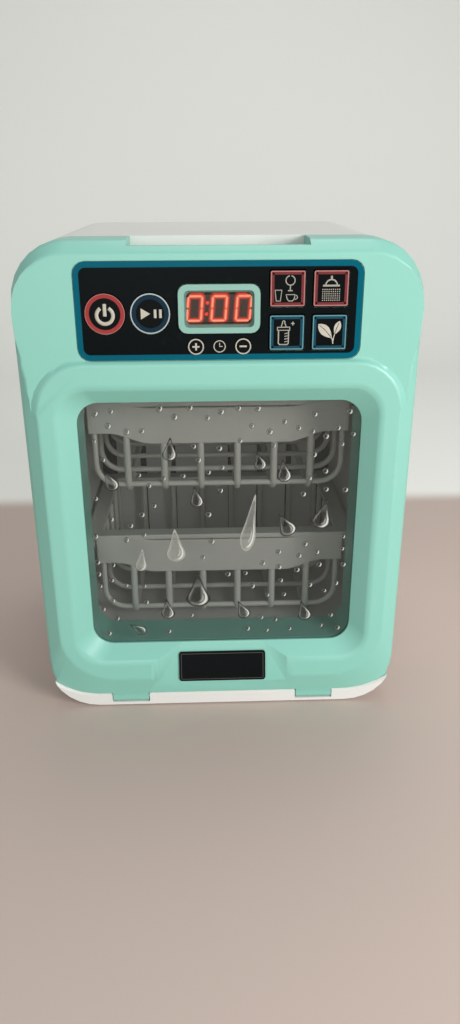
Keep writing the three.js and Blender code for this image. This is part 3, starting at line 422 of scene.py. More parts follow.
def water(middle, line, dark=DROP_DARK):
    """The wiring of a water drop's ink: how solid its middle is, and how wide its line."""

    def wire(w, shader):
        drop = w.group("Water print", {"Dark": dark, "Bright": DROP_BRIGHT, "Middle": middle, "Line": line})
        w.fill(shader, {"Base Color": drop["Colour"], "Alpha": drop["Cover"], "Roughness": 0.4})

    return wire


def lens_skin(w, shader):
    """Brown smoke plastic over the display."""
    cloud = w.noise(w.place(), 60.0)
    w.fill(shader, {
        "Base Color": w.mix(cloud, colours().lens, LENS_CLOUD),
        "Roughness": w.math("MULTIPLY_ADD", cloud, 0.1, 0.08),
        "Specular IOR Level": 0.2,
        "Alpha": 0.2,
    })


# How far the digits lean for each metre of height, and where they lie as shares of the lens's width
SLANT = math.tan(math.radians(5))
DIGIT_SHARES = (-0.355, 0.0, 0.355)


def digit_middles():
    """The middles of the display's three digits."""
    low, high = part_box("display_lens")
    middle = (low + high) / 2
    return [middle + Vector(((high.x - low.x) * share, 0, 0)) for share in DIGIT_SHARES]


def off_the_digits(w):
    """Distance in metres from the middle line of the nearest digit's strokes."""
    size = sizes()
    half = Vector((size.digit_width / 2, 0, size.digit_height / 2))
    nearest = None
    for middle in digit_middles():
        away = w.math("ABSOLUTE", box_distance(w, middle - half, middle + half, mm(1), SLANT))
        nearest = away if nearest is None else w.math("MINIMUM", nearest, away)
    return nearest


def module_skin(w, shader):
    """The display module: dark, with the red light of its segments spreading over it."""
    spread_from, spread_to, falloff = mm(0.4), mm(2.4), 1.5
    skin(w, shader, MODULE, roughness=0.5, drift=0.15, patch=80.0, relief=0.01)
    glow = w.math("POWER", w.fade(off_the_digits(w), spread_from, spread_to), falloff)
    w.fill(shader, {"Emission Color": w.mix(glow, (0, 0, 0), colours().glow), "Emission Strength": 1.1})


def segment_skin(w, shader):
    """The light of one segment, a little brighter along its middle."""
    core_edge, rim = mm(0.05), mm(0.9)
    edge = w.ease(off_the_digits(w), core_edge, rim)
    w.fill(shader, {
        "Emission Color": w.mix(edge, colours().core, colours().glow),
        "Emission Strength": 1.2,
        "Base Color": SEGMENT,
        "Roughness": 0.4,
    })


def steel_skin(w, shader):
    """Plated steel with fine turned marks."""
    skin(w, shader, colours().steel, roughness=0.3, drift=0.2, patch=220.0, grain=3600.0, relief=0.01,
         rough_drift=0.2)
    w.fill(shader, {"Metallic": 1.0})


def cell_skin(w, shader):
    """A battery cell's wrapper: dark, with a band near one end and bare metal at both ends."""
    band_from, band_to, bare_from, bare_to = mm(13.8), mm(14.1), mm(1.9), mm(2.1)
    low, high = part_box("battery_cell_1")
    x = w.split(w.place())[0]
    from_left = w.less(x, low.x)
    to_right = w.less(high.x, x)
    wrap = w.mix(w.ease(from_left, band_from, band_to), CELL_BAND, CELL_WRAP)
    bare = w.fade(w.math("MINIMUM", from_left, to_right), bare_from, bare_to)
    skin(w, shader, w.mix(bare, wrap, CELL_END), roughness=0.32, drift=0.1, patch=120.0, relief=0.006)
    w.fill(shader, {"Metallic": bare})


def board_skin(w, shader):
    """Green board with copper tracks under the lacquer."""
    x, _, z = w.split(w.place())
    flat = w.fill(w.add("ShaderNodeCombineXYZ"), {0: x, 1: z})[0]
    tracks = w.fill(w.add("ShaderNodeTexBrick"), {"Vector": flat, "Scale": 120.0, "Mortar Size": 0.03})
    skin(w, shader, w.mix(tracks["Fac"], colours().board, TRACKS), roughness=0.3, drift=0.15, patch=40.0,
         relief=0.01)


def cone_skin(w, shader):
    """Black paper cone with rings round its middle."""
    radians_per_metre = 2600.0
    low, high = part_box("speaker")
    middle = (low + high) / 2
    wave = w.math("SINE", w.times(box_distance(w, middle, middle, 0.0), radians_per_metre))
    skin(w, shader, w.mix(w.ease(wave, -0.4, 0.4), CONE_DARK, CONE_PALE), roughness=0.7, drift=0.2,
         patch=90.0, relief=0.03)


def paper_skin(w, shader):
    """Pale warm paper under the toy, and paler grey paper further back."""
    table_end, backdrop_start = 0.26, 0.3
    far = w.ease(w.split(w.place())[1], table_end, backdrop_start)
    skin(w, shader, w.mix(far, TABLE, BACKDROP), roughness=0.7, drift=0.03, patch=2.0, relief=0.01,
         scuffs=0.0)


# Each finish by its slot: what wires it
FINISHES = {
    "mint": {
        "mint plastic": plain("mint", roughness=0.36, drift=0.05, patch=9.0, relief=0.012, scuffs=0.05),
        "bezel plastic": plain("bezel", roughness=0.4, drift=0.06, patch=30.0, relief=0.006, scuffs=0.05),
    },
    "white_body": {
        "white plastic": plain("white", roughness=0.42, drift=0.05, patch=12.0, relief=0.015, scuffs=0.04),
    },
    "tub": {
        "tub plastic": tub_skin,
        "dark plastic": plain("dark", roughness=0.5, drift=0.12, patch=16.0, relief=0.005, scuffs=0.03),
    },
    "rack": {"rack plastic": plain("rack", roughness=0.38, drift=0.08, patch=30.0, relief=0.01)},
    "black_print": {
        "key plastic": plain("key", roughness=0.26, drift=0.3, patch=60.0, relief=0.003, scuffs=0.006,
                             gloss=0.05),
        "light ink": ink("ink"),
        "dim ink": ink("dim_ink"),
        "dark ink": ink("key"),
        "red ring ink": ink("red"),
        "blue band ink": ink("blue"),
        "pale line ink": ink("pale"),
        "rose line ink": ink("rose"),
        "rose band ink": ink("rose_band"),
        "sea line ink": ink("sea"),
        "sea band ink": ink("sea_band"),
        "panel film": film_skin,
        "name plate plastic": plate_skin,
        "printed beads": water(middle=0.3, line=0.34),
        "printed drops": water(middle=0.23, line=0.16),
        "printed pale drops": water(middle=0.24, line=0.14, dark=DROP_PALE),
        "display module face": module_skin,
        "speaker cone": cone_skin,
    },
    "smoked_pane": {"smoked pane": pane_skin},
    "display_lens": {"display lens plastic": lens_skin, "lit segment": segment_skin},
    "steel": {"plated steel": steel_skin},
    "cell": {"cell wrap": cell_skin},
    "board": {"board lacquer": board_skin},
    "foot_rubber": {
        "foot rubber": plain("rubber", roughness=0.8, drift=0.3, patch=90.0, grain=900.0, relief=0.06,
                             scuffs=0.3),
    },
    "stage": {"studio paper": paper_skin},
}


def slot_of(name):
    """The material slot that a finish belongs to."""
    return next(slot for slot, looks in FINISHES.items() if name in looks)


def finish(name):
    """The material of this name, wired the first time that it is asked for."""
    made = bpy.data.materials.get(name)
    if made:
        return made
    material = bpy.data.materials.new(name)
    material.use_nodes = True
    material.node_tree.nodes.clear()
    w = Wiring(material.node_tree)
    shader = w.add("ShaderNodeBsdfPrincipled")
    w.join(shader.outputs[0], w.add("ShaderNodeOutputMaterial").inputs[0])
    FINISHES[slot_of(name)][name](w, shader)
    return material


# Modelling by hand

def leave_edit_mode():
    if bpy.context.object and bpy.context.object.mode != "OBJECT":
        bpy.ops.object.mode_set(mode="OBJECT")


def nothing_selected():
    leave_edit_mode()
    bpy.ops.object.select_all(action="DESELECT")


def only(*pieces):
    """Selects these pieces alone, with the first one active."""
    nothing_selected()
    for piece in pieces:
        piece.select_set(True)
    bpy.context.view_layer.objects.active = pieces[0]


@contextmanager
def editing(piece, kind="FACE"):
    """Edit mode on one piece, with nothing in its mesh selected."""
    only(piece)
    bpy.ops.object.mode_set(mode="EDIT")
    bpy.ops.mesh.select_mode(type=kind)
    bpy.ops.mesh.select_all(action="DESELECT")
    yield
    leave_edit_mode()


def pick(piece, kind, test):
    """Selects the faces, edges or verts that pass the test, in edit mode."""
    mesh = bmesh.from_edit_mesh(piece.data)
    for element in getattr(mesh, kind):
        if test(element):
            element.select_set(True)
    mesh.select_flush_mode()
    bmesh.update_edit_mesh(piece.data)


def pick_all():
    bpy.ops.mesh.select_all(action="SELECT")


def named(piece, name):
    piece.name = name
    piece.data.name = name
    return piece


def apply_place(piece):
    only(piece)
    bpy.ops.object.transform_apply(location=True, rotation=True, scale=True)
    return piece


def modify(piece, kind, **settings):
    """Adds one modifier, sets it and applies it."""
    only(piece)
    modifier = piece.modifiers.new(kind.title(), kind)
    for name, value in settings.items():
        setattr(modifier, name, value)
    bpy.ops.object.modifier_apply(modifier=modifier.name)


def round_edges(piece, width, segments=2, angle=30.0):
    modify(
        piece, "BEVEL", width=width, segments=segments, limit_method="ANGLE",
        angle_limit=math.radians(angle), use_clamp_overlap=True, harden_normals=False,
    )


def smooth(piece, angle=32.0):
    """Smooth shading, sharp past this angle, with flat faces kept flat."""
    only(piece)
    bpy.ops.object.shade_smooth_by_angle(angle=math.radians(angle), keep_sharp_edges=False)
    modify(piece, "WEIGHTED_NORMAL", keep_sharp=True, weight=60)


def merge_doubles(gap=0.001):
    """Merges points of the mesh in edit mode that lie within this many millimetres."""
    pick_all()
    bpy.ops.mesh.remove_doubles(threshold=mm(gap))


def turn_faces_out():
    bpy.ops.mesh.normals_make_consistent(inside=False)


def facing_out(piece):
    with editing(piece):
        merge_doubles()
        turn_faces_out()


def hollow_out(piece, width):
    """Leaves a border of this width of a flat shape."""
    with editing(piece):
        pick_all()
        bpy.ops.mesh.inset(thickness=width, use_boundary=True)
        bpy.ops.mesh.delete(type="FACE")


def thicken(piece, thickness, offset=1.0):
    """Gives a flat shape its thickness: towards its front at offset 1, and towards its back at -1."""
    modify(piece, "SOLIDIFY", thickness=thickness, offset=offset)
    facing_out(piece)
    return piece


def primitive(kind, scale=(1, 1, 1), **settings):
    """A new primitive at its size and place."""
    nothing_selected()
    getattr(bpy.ops.mesh, f"primitive_{kind}_add")(**settings)
    bpy.context.object.scale = scale
    return apply_place(bpy.context.object)


UPRIGHT = (math.pi / 2, 0, 0)


def flat_disc(radius, middle, sides, stretch=1.0):
    """A flat disc that faces the front."""
    return primitive("circle", (stretch, 1, 1), vertices=sides, radius=radius, fill_type="NGON",
                     location=middle, rotation=UPRIGHT)


def dress(piece, name, body, look, *nodes):
    """Names a finished piece, gives it its finish, and lets it ride on its body in place of these nodes."""
    apply_place(piece)
    named(piece, name)
    piece.data.materials.clear()
    piece.data.materials.append(finish(look))
    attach(piece, body)
    if nodes:
        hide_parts(*nodes)
    return piece


def copy_of(piece, moved=(0, 0, 0)):
    """A copy with its own mesh, moved by a vector."""
    twin = piece.copy()
    twin.data = piece.data.copy()
    bpy.context.scene.collection.objects.link(twin)
    twin.location = Vector(piece.location) + Vector(moved)
    return twin


def joined(pieces):
    """One piece made of several."""
    if len(pieces) > 1:
        only(*pieces)
        bpy.ops.object.join()
    return apply_place(pieces[0])


def body_of(node):
    return frame["nodes"][node]["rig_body"]


def moulding(node, name, look, rounding=0.0, segments=2, rolls=()):
    """The CAD node's own shape with its triangles merged, its edges rounded and its skin smoothed.

    Rounding is in millimetres. Each roll is a larger radius for the edges that its test finds.
    """
    piece = bpy.data.objects.new(name, frame["nodes"][node].data.copy())
    bpy.context.scene.collection.objects.link(piece)
    with editing(piece, "VERT"):
        bpy.ops.mesh.customdata_custom_splitnormals_clear()
        merge_doubles(gap=0.002)
        bpy.ops.mesh.dissolve_limited(angle_limit=math.radians(0.3))
    for width, steps, test in rolls:
        with editing(piece, "EDGE"):
            pick(piece, "edges", test)
            bpy.ops.mesh.bevel(offset=width, segments=steps, affect="EDGES", clamp_overlap=False)
    if rounding:
        round_edges(piece, mm(rounding), segments)
    smooth(piece)
    return dress(piece, name, body_of(node), look, node)


def front_middle(node):
    low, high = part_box(node)
    return Vector(((low.x + high.x) / 2, low.y, (low.z + high.z) / 2))


# Ink

# Widths of printed strokes in millimetres, and how much thicker the ink of an upper line is
HAIR, FINE, THIN, PLAIN, FIRM, FULL, BOLD = 0.5, 0.6, 0.7, 0.8, 0.9, 1.1, 1.2
OVER_RING, OVER_BAND = 1.5, 1.6


def arc(across, up, radius, start, end, steps=14):
    """Points on a circle between two angles in degrees, in millimetres."""
    turns = [math.radians(start + (end - start) * i / steps) for i in range(steps + 1)]
    return [(across + radius * math.cos(t), up + radius * math.sin(t)) for t in turns]


class Artwork:
    """Flat shapes on a node's front, drawn in millimetres round a middle."""

    def __init__(self, node, middle=None, depth=None):
        self.node = node
        self.middle = middle or front_middle(node)
        self.depth = depth or sizes().ink

    def put(self, name, look, *pieces):
        """Makes one piece of these shapes, which rides with the node."""
        dress(joined(pieces), name, body_of(self.node), look)

    def ring(self, outer, width, sides=64):
        """A disc with its middle taken out."""
        piece = flat_disc(mm(outer), self.middle, sides)
        hollow_out(piece, mm(width))
        return thicken(piece, self.depth)

    def square(self, half, width, corner, over=1.0):
        """A square frame with rounded corners."""
        piece = primitive("plane", size=2 * mm(half), location=self.middle, rotation=UPRIGHT)
        with editing(piece, "VERT"):
            pick_all()
            bpy.ops.mesh.bevel(offset=mm(corner), segments=5, affect="VERTICES")
        hollow_out(piece, mm(width))
        return thicken(piece, self.depth * over)

    def shape(self, points):
        """A flat disc whose corners are moved to the outline's points."""
        piece = flat_disc(mm(1), (0, 0, 0), sides=len(points))
        for vertex, (across, up) in zip(piece.data.vertices, points):
            vertex.co = self.middle + Vector((mm(across), 0, mm(up)))
        piece.data.update()
        facing_out(piece)
        with editing(piece):
            pick(piece, "faces", lambda face: face.normal.y > 0)
            bpy.ops.mesh.flip_normals()
        return thicken(piece, self.depth)

    def line(self, points, width, closed=False, over=1.0):
        """A line of round section along its points, pressed flat."""
        path = bpy.data.curves.new("line", "CURVE")
        path.dimensions = "3D"
        path.bevel_depth = mm(width) / 2
        path.bevel_resolution = 1
        path.use_fill_caps = True
        spline = path.splines.new("POLY")
        spline.points.add(len(points) - 1)
        for point, (across, up) in zip(spline.points, points):
            point.co = (mm(across), 0, mm(up), 1)
        spline.use_cyclic_u = closed
        line = bpy.data.objects.new("line", path)
        bpy.context.scene.collection.objects.link(line)
        only(line)
        bpy.ops.object.convert(target="MESH")
        piece = bpy.context.object
        piece.scale.y = 2 * self.depth * over / mm(width)
        piece.location = self.middle
        return apply_place(piece)

    def loop(self, radius, width, end, steps, over=1.0):
        """A ring of line, whose points stop at this angle, just short of the first one."""
        return self.line(arc(0, 0, radius, 0, end, steps), width, closed=True, over=over)


# Racks

ROD_SIDES = 12
RIM_ANGLE = 40


def bent_rod(start, end, floor, radius, bend_radius, steps):
    """A round rod hung from two points: down, round a bend, along the floor and up again."""
    piece = primitive("circle", vertices=ROD_SIDES, radius=radius, fill_type="NOTHING", location=start)
    along = (end - start).normalized()
    inset = along * bend_radius
    drop = Vector((0, 0, floor + bend_radius - start.z))

    def draw_out(move):
        bpy.ops.mesh.extrude_region_move(TRANSFORM_OT_translate={"value": move})

    def bend(centre):
        axis = Vector((0, 0, 1)).cross(along)
        bpy.ops.mesh.spin(steps=steps, angle=math.pi / 2, center=centre, axis=axis)

    with editing(piece, "EDGE"):
        pick_all()
        draw_out(drop)
        bend(start + inset + drop)
        draw_out(end - start - 2 * inset)
        bend(end - inset + drop)
        draw_out(-drop)
        merge_doubles()
        bpy.ops.mesh.fill_holes(sides=0)
        turn_faces_out()
    return piece


def wavy_band(half, front, top, side_drop, middle_drop, dip, wave_from, wave_to, thickness):
    """The front band, whose edges dip between two soft steps."""
    piece = primitive("grid", x_subdivisions=56, y_subdivisions=1, size=2, rotation=UPRIGHT)
    for vertex in piece.data.vertices:
        x = vertex.co.x * half
        share = min(max((wave_from - abs(x)) / (wave_from - wave_to), 0), 1)
        wave = share * share * (3 - 2 * share)
        high = top - dip * wave
        low = top - side_drop - (middle_drop - side_drop) * wave
        vertex.co = (x, front + thickness, high if vertex.co.z > 0 else low)
    thicken(piece, thickness)
    round_edges(piece, thickness * 0.35, segments=3, angle=RIM_ANGLE)
    return piece


def flat_rim(half, front, back, top, width, thickness):
    """The flat rim round the top of a rack."""
    piece = primitive("plane", (2 * half, back - front, 1), size=1, location=(0, (front + back) / 2, top))
    hollow_out(piece, width)
    thicken(piece, thickness, offset=-1.0)
    round_edges(piece, thickness * 0.25, segments=2, angle=RIM_ANGLE)
    return piece


def rear_rail(half, back, top, drop, thickness):
    """The plain band at the back of a rack."""
    piece = primitive("cube", (2 * half, thickness, drop), size=1,
                      location=(0, back - thickness / 2, top - drop / 2))
    round_edges(piece, thickness * 0.3, segments=2, angle=RIM_ANGLE)
    return piece


def make_rack(node):
    """A rack of round rods hung from a flat rim, with a wavy band across its front."""
    cross_rods, long_bars, bar_pitch = 5, 6, mm(23.8)
    lap, rail_drop, bar_top_drop = mm(0.3), mm(10), mm(9)
    size = sizes()
    low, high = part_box(node)
    front, back, top, bottom = low.y, high.y, high.z, low.z
    rod, bar, tall = size.rod, size.bar, high.z - low.z
    half = high.x - size.rim_reach
    band_half = high.x - size.band_reach
    pieces = [
        wavy_band(band_half, front, top, side_drop=tall * 0.334, middle_drop=tall * 0.445, dip=mm(4),
                  wave_from=half * 0.88, wave_to=half * 0.55, thickness=size.band_thickness),
        flat_rim(high.x, front + lap, back, top, size.rim_width + rod, size.rim_thickness),
        rear_rail(band_half, back, top, rail_drop, size.band_thickness),
    ]
    first = front + size.band_thickness + rod / 2 - lap
    last = back - size.band_thickness - rod / 2 + lap
    hang = top - size.rim_thickness / 2
    floor = bottom + bar + rod / 2 - lap
    cross = bent_rod(Vector((-half, first, hang)), Vector((half, first, hang)), floor, rod / 2,
                     size.rod_bend, steps=7)
    pieces.append(cross)
    for i in range(1, cross_rods):
        pieces.append(copy_of(cross, (0, (last - first) * i / (cross_rods - 1), 0)))
    left, end_inset = -bar_pitch * (long_bars - 1) / 2, (bar + lap) / 2
    long = bent_rod(Vector((left, front + end_inset, top - bar_top_drop)),
                    Vector((left, back - end_inset, top - bar_top_drop)), bottom + bar / 2, bar / 2,
                    size.bar_bend, steps=4)
    pieces.append(long)
    for i in range(1, long_bars):
        pieces.append(copy_of(long, (bar_pitch * i, 0, 0)))
    piece = joined(pieces)
    smooth(piece, RIM_ANGLE)
    dress(piece, node + "_moulding", body_of(node), "rack plastic", node)


# Drops

def teardrop(middle, length, turn, plump):
    """One long drop: a disc whose upper half is drawn out to a point, then tilted."""
    body, taper, pull, sink = 0.28, 0.62, 1.55, 0.22
    reach = length * body
    piece = flat_disc(reach, (0, 0, 0), sides=28, stretch=plump)
    for vertex in piece.data.vertices:
        up = vertex.co.z / reach
        if up > 0:
            vertex.co.x *= 1 - taper * up
            vertex.co.z = reach * (up + pull * up * up)
    piece.data.transform(Matrix.Translation((0, 0, -length * sink)))
    piece.data.transform(Matrix.Rotation(math.radians(turn), 4, "Y"))
    piece.location = middle
    return apply_place(piece)


# Operators

class DISHWASHER_OT_stage(bpy.types.Operator):
    """Set the camera, the pale floor and backdrop, and the soft lamps"""

    bl_idname = "dishwasher.stage"
    bl_label = "Stage"

    # The camera fitted to the photograph: its place in metres, its turns in degrees, and its lens.
    camera_place = (-0.00921, -0.5328, 0.3297)
    pan, dip, roll = -1.911, 23.006, -0.217
    focal_length, sensor_height, nearest = 18.398, 24, 0.02

    # Each lamp: its place, what it is aimed at and its width in metres, and its power in watts.
    lamps = {
        "key lamp": ((0.75, -0.85, 0.5), (0, 0, 0.13), 0.5, 9.5),
        "front lamp": ((-0.1, -1.5, 0.42), (0, 0, 0.13), 0.9, 4.6),
        "fill lamp": ((-1.1, -0.7, 0.7), (0, 0, 0.15), 1.1, 0.8),
        "top lamp": ((0.1, 0.35, 1.3), (0, 0.05, 0.2), 0.7, 3.5),
    }
    room_light = 0.5

    # The floor's side, where it lies, and the radius and height of the backdrop it bends into.
    floor_side, floor_y, sweep_radius, backdrop_height = 3.0, -0.6, 0.4, 1.6

    def execute(self, context):
        scene = context.scene
        self.set_camera(scene)
        self.make_sweep()
        for name, row in self.lamps.items():
            self.add_lamp(scene, name, *row)
        world = bpy.data.worlds.new("pale room")
        world.use_nodes = True
        Wiring(world.node_tree).fill(
            world.node_tree.nodes["Background"], {"Color": ROOM, "Strength": self.room_light},
        )
        scene.world = world
        return {"FINISHED"}

    def set_camera(self, scene):
        lens = bpy.data.cameras.new("photo camera")
        lens.sensor_fit = "VERTICAL"
        lens.sensor_height = self.sensor_height
        lens.lens = self.focal_length
        lens.clip_start = self.nearest
        camera = bpy.data.objects.new("photo camera", lens)
        scene.collection.objects.link(camera)
        camera.matrix_world = (
            Matrix.Translation(self.camera_place)
            @ Matrix.Rotation(math.radians(self.pan), 4, "Z")
            @ Matrix.Rotation(math.radians(90 - self.dip), 4, "X")
            @ Matrix.Rotation(math.radians(self.roll), 4, "Z")
        )
        scene.camera = camera
        scene.view_settings.view_transform = "Standard"

    def make_sweep(self):
        """A floor that bends up into a backdrop."""
        floor = primitive("plane", size=self.floor_side, location=(0, self.floor_y, 0))
        back_edge = self.floor_y + self.floor_side / 2
        with editing(floor, "EDGE"):
            pick(floor, "edges", lambda edge: all(v.co.y > back_edge - mm(1) for v in edge.verts))
            bpy.ops.mesh.spin(
                steps=10, angle=-math.pi / 2, center=(0, back_edge, self.sweep_radius), axis=(1, 0, 0),
            )
            bpy.ops.mesh.extrude_region_move(TRANSFORM_OT_translate={"value": (0, 0, self.backdrop_height)})
        with editing(floor):
            merge_doubles(gap=0.01)
            turn_faces_out()
        only(floor)
        bpy.ops.object.shade_smooth()
        named(floor, "studio_sweep")
        floor.data.materials.append(finish("studio paper"))

    def add_lamp(self, scene, name, place, target, size, power):
        light = bpy.data.lights.new(name, "AREA")
        light.shape = "DISK"
        light.size = size
        light.energy = power
        lamp = bpy.data.objects.new(name, light)
        scene.collection.objects.link(lamp)
        lamp.location = place
        lamp.rotation_euler = (Vector(target) - Vector(place)).to_track_quat("-Z", "Y").to_euler()


class DISHWASHER_OT_cabinet(bpy.types.Operator):
    """Make the white cabinet, its rear cover and base, and the dark tub"""

    bl_idname = "dishwasher.cabinet"
    bl_label = "Cabinet and tub"

    def execute(self, context):
        edge = sizes().cabinet_rounding / mm(1)
        moulding("cabinet_shell", "cabinet_moulding", "white plastic", edge)
        moulding("rear_cover", "rear_cover_moulding", "white plastic", edge)
        moulding("base", "base_moulding", "white plastic", edge)
        moulding("tub", "tub_moulding", "tub plastic", 0.4)
        return {"FINISHED"}


class DISHWASHER_OT_racks(bpy.types.Operator):
    """Make the upper and lower racks of round rods"""

    bl_idname = "dishwasher.racks"
    bl_label = "Racks"

    def execute(self, context):
        make_rack("upper_rack")
        make_rack("lower_rack")
        return {"FINISHED"}


class DISHWASHER_OT_door(bpy.types.Operator):
    """Make the mint door, its inner panel and the cover over the cells"""

    bl_idname = "dishwasher.door"
    bl_label = "Door"

    # How far behind the door's face the rolled edges lie, the angles in degrees between which an edge
    # is blunt, and how much the slope beside the ridge faces the front.
    step_foot, slope_foot, side_foot = mm(2.4), mm(7), mm(11)
    bluntest, sharpest = 12, 62
    ridge_side_slope = 0.74

    def blunt_edges(self, depth, outward, steepest=1.0):
        """A test for blunt edges at one depth, whose slope faces away from the window or towards it.

        Slopes that face the front more than the last number are left out.
        """
        low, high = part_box("window_pane")
        middle = (low + high) / 2

        def test(edge):
            if len(edge.link_faces) != 2 or any(abs(v.co.y - depth) > mm(0.2) for v in edge.verts):
                return False
            if not math.radians(self.bluntest) < edge.calc_face_angle(0) < math.radians(self.sharpest):
                return False
            slope = min(edge.link_faces, key=lambda face: abs(face.normal.y))
            away = slope.calc_center_median() - middle
            if abs(slope.normal.y) > steepest:
                return False
            return (slope.normal.x * away.x + slope.normal.z * away.z > 0) == outward

        return test

    def execute(self, context):
        size = sizes()
        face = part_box("door_shell")[0].y
        # Each roll: its radius, its steps, and the edges that it takes.
        rolls = [
            (size.frame_roll, 4, self.blunt_edges(face, False)),
            (size.step_roll, 3, self.blunt_edges(face, True)),
            (size.step_roll, 3, self.blunt_edges(face + self.step_foot, True, self.ridge_side_slope)),
            (size.side_roll, 4, self.blunt_edges(face + self.side_foot, True)),
            (size.side_roll, 4, self.blunt_edges(face + self.slope_foot, True)),
        ]
        moulding("door_shell", "door_moulding", "mint plastic", rolls=rolls)
        moulding("door_inner_panel", "inner_panel_moulding", "mint plastic", 0.5)
        moulding("battery_cover", "battery_cover_moulding", "mint plastic", 0.4)
        return {"FINISHED"}


class DISHWASHER_OT_window(bpy.types.Operator):
    """Make the smoked pane and the water drops printed on it"""

    bl_idname = "dishwasher.window"
    bl_label = "Window"

    # Each long drop: how far across and up the window, its length in millimetres, its tilt in degrees, its
    # plumpness, and whether it is pale.
    drops = (
        (0.32, 0.82, 15, 4, 1.1, False), (0.41, 0.63, 14, -10, 1.1, False), (0.64, 0.77, 12, -16, 1.2, False),
        (0.73, 0.73, 15, -8, 1.1, False), (0.74, 0.51, 17, -30, 1.2, False), (0.88, 0.55, 20, 14, 1.1, False),
        (0.10, 0.70, 14, -26, 1.1, False), (0.20, 0.37, 16, 6, 0.8, True), (0.33, 0.43, 23, -2, 0.95, True),
        (0.61, 0.52, 40, 9, 0.44, True), (0.41, 0.23, 24, 0, 1.2, False), (0.29, 0.15, 15, -4, 1.1, False),
        (0.58, 0.14, 14, -24, 1.1, False), (0.82, 0.13, 15, -16, 1.1, False),
        (0.17, 0.06, 12, -56, 1.1, False),
    )

    # How far the pane laps behind the door, how far the drops stand off it, and how thick their ink is.
    lap, clear, ink_depth = mm(3), mm(0.05), mm(0.03)

    # The round beads: how many, after how many tries at most, how far they keep from the window's edge
    # and from each other, and their smallest size and its spread as shares of the bead's setting.
    seed, bead_count, most_tries, edge_room, room_between = 11, 96, 2600, mm(4), mm(6.5)
    smallest, spread = 0.78, 0.3

    def execute(self, context):
        low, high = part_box("window_pane")
        moulding("window_pane", "window_pane_moulding", "smoked pane", 0.2)
        self.face = low.y - self.clear
        lap = Vector((self.lap, 0, self.lap))
        low, high = low + lap, high - lap
        dark, pale, taken = [], [], []
        for across, up, length, turn, plump, is_pale in self.drops:
            middle = self.spot(low.x + (high.x - low.x) * across, low.z + (high.z - low.z) * up)
            (pale if is_pale else dark).append(teardrop(middle, mm(length), turn, plump))
            taken.append((middle, mm(length) / 2))
        beads = self.scattered_beads(low, high, taken)
        for pieces, name in ((beads, "printed_beads"), (dark, "printed_drops"), (pale, "printed_pale_drops")):
            piece = thicken(joined(pieces), self.ink_depth)
            dress(piece, name, "door", name.replace("_", " "))
        return {"FINISHED"}

    def spot(self, x, z):
        return Vector((x, self.face, z))

    def scattered_beads(self, low, high, taken):
        """Round drops at seeded places, clear of what is taken and of each other."""
        chance = random.Random(self.seed)
        radius = sizes().bead / 2
        room = self.edge_room
        first = flat_disc(radius, (0, 0, 0), sides=14)
        beads = []
        for _ in range(self.most_tries):
            if len(beads) == self.bead_count:
                break
            middle = self.spot(
                low.x + room + chance.random() * (high.x - low.x - 2 * room),
                low.z + room + chance.random() * (high.z - low.z - 2 * room),
            )
            if any((middle - other).length < reach + self.room_between for other, reach in taken):
                continue
            taken.append((middle, radius))
            bead = copy_of(first)
            bead.scale = [self.smallest + self.spread * chance.random()] * 3
            bead.location = middle
            beads.append(bead)
        bpy.data.objects.remove(first)
        return beads


class DISHWASHER_OT_panel_film(bpy.types.Operator):
    """Make the black control panel with its teal line and the little clock"""

    bl_idname = "dishwasher.panel_film"
    bl_label = "Control panel"

    def execute(self, context):
        moulding("control_film", "panel_film", "panel film", 0.12)
        middle = Vector((0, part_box("control_film")[0].y, front_middle("plus_key").z))
        art = Artwork("control_film", middle)
        ring = art.loop(3.2, FINE, end=348, steps=14)
        hands = art.line([(0, 2.0), (0, 0), (1.7, 0)], 0.55)
        art.put("clock_symbol", "light ink", ring, hands)
        return {"FINISHED"}


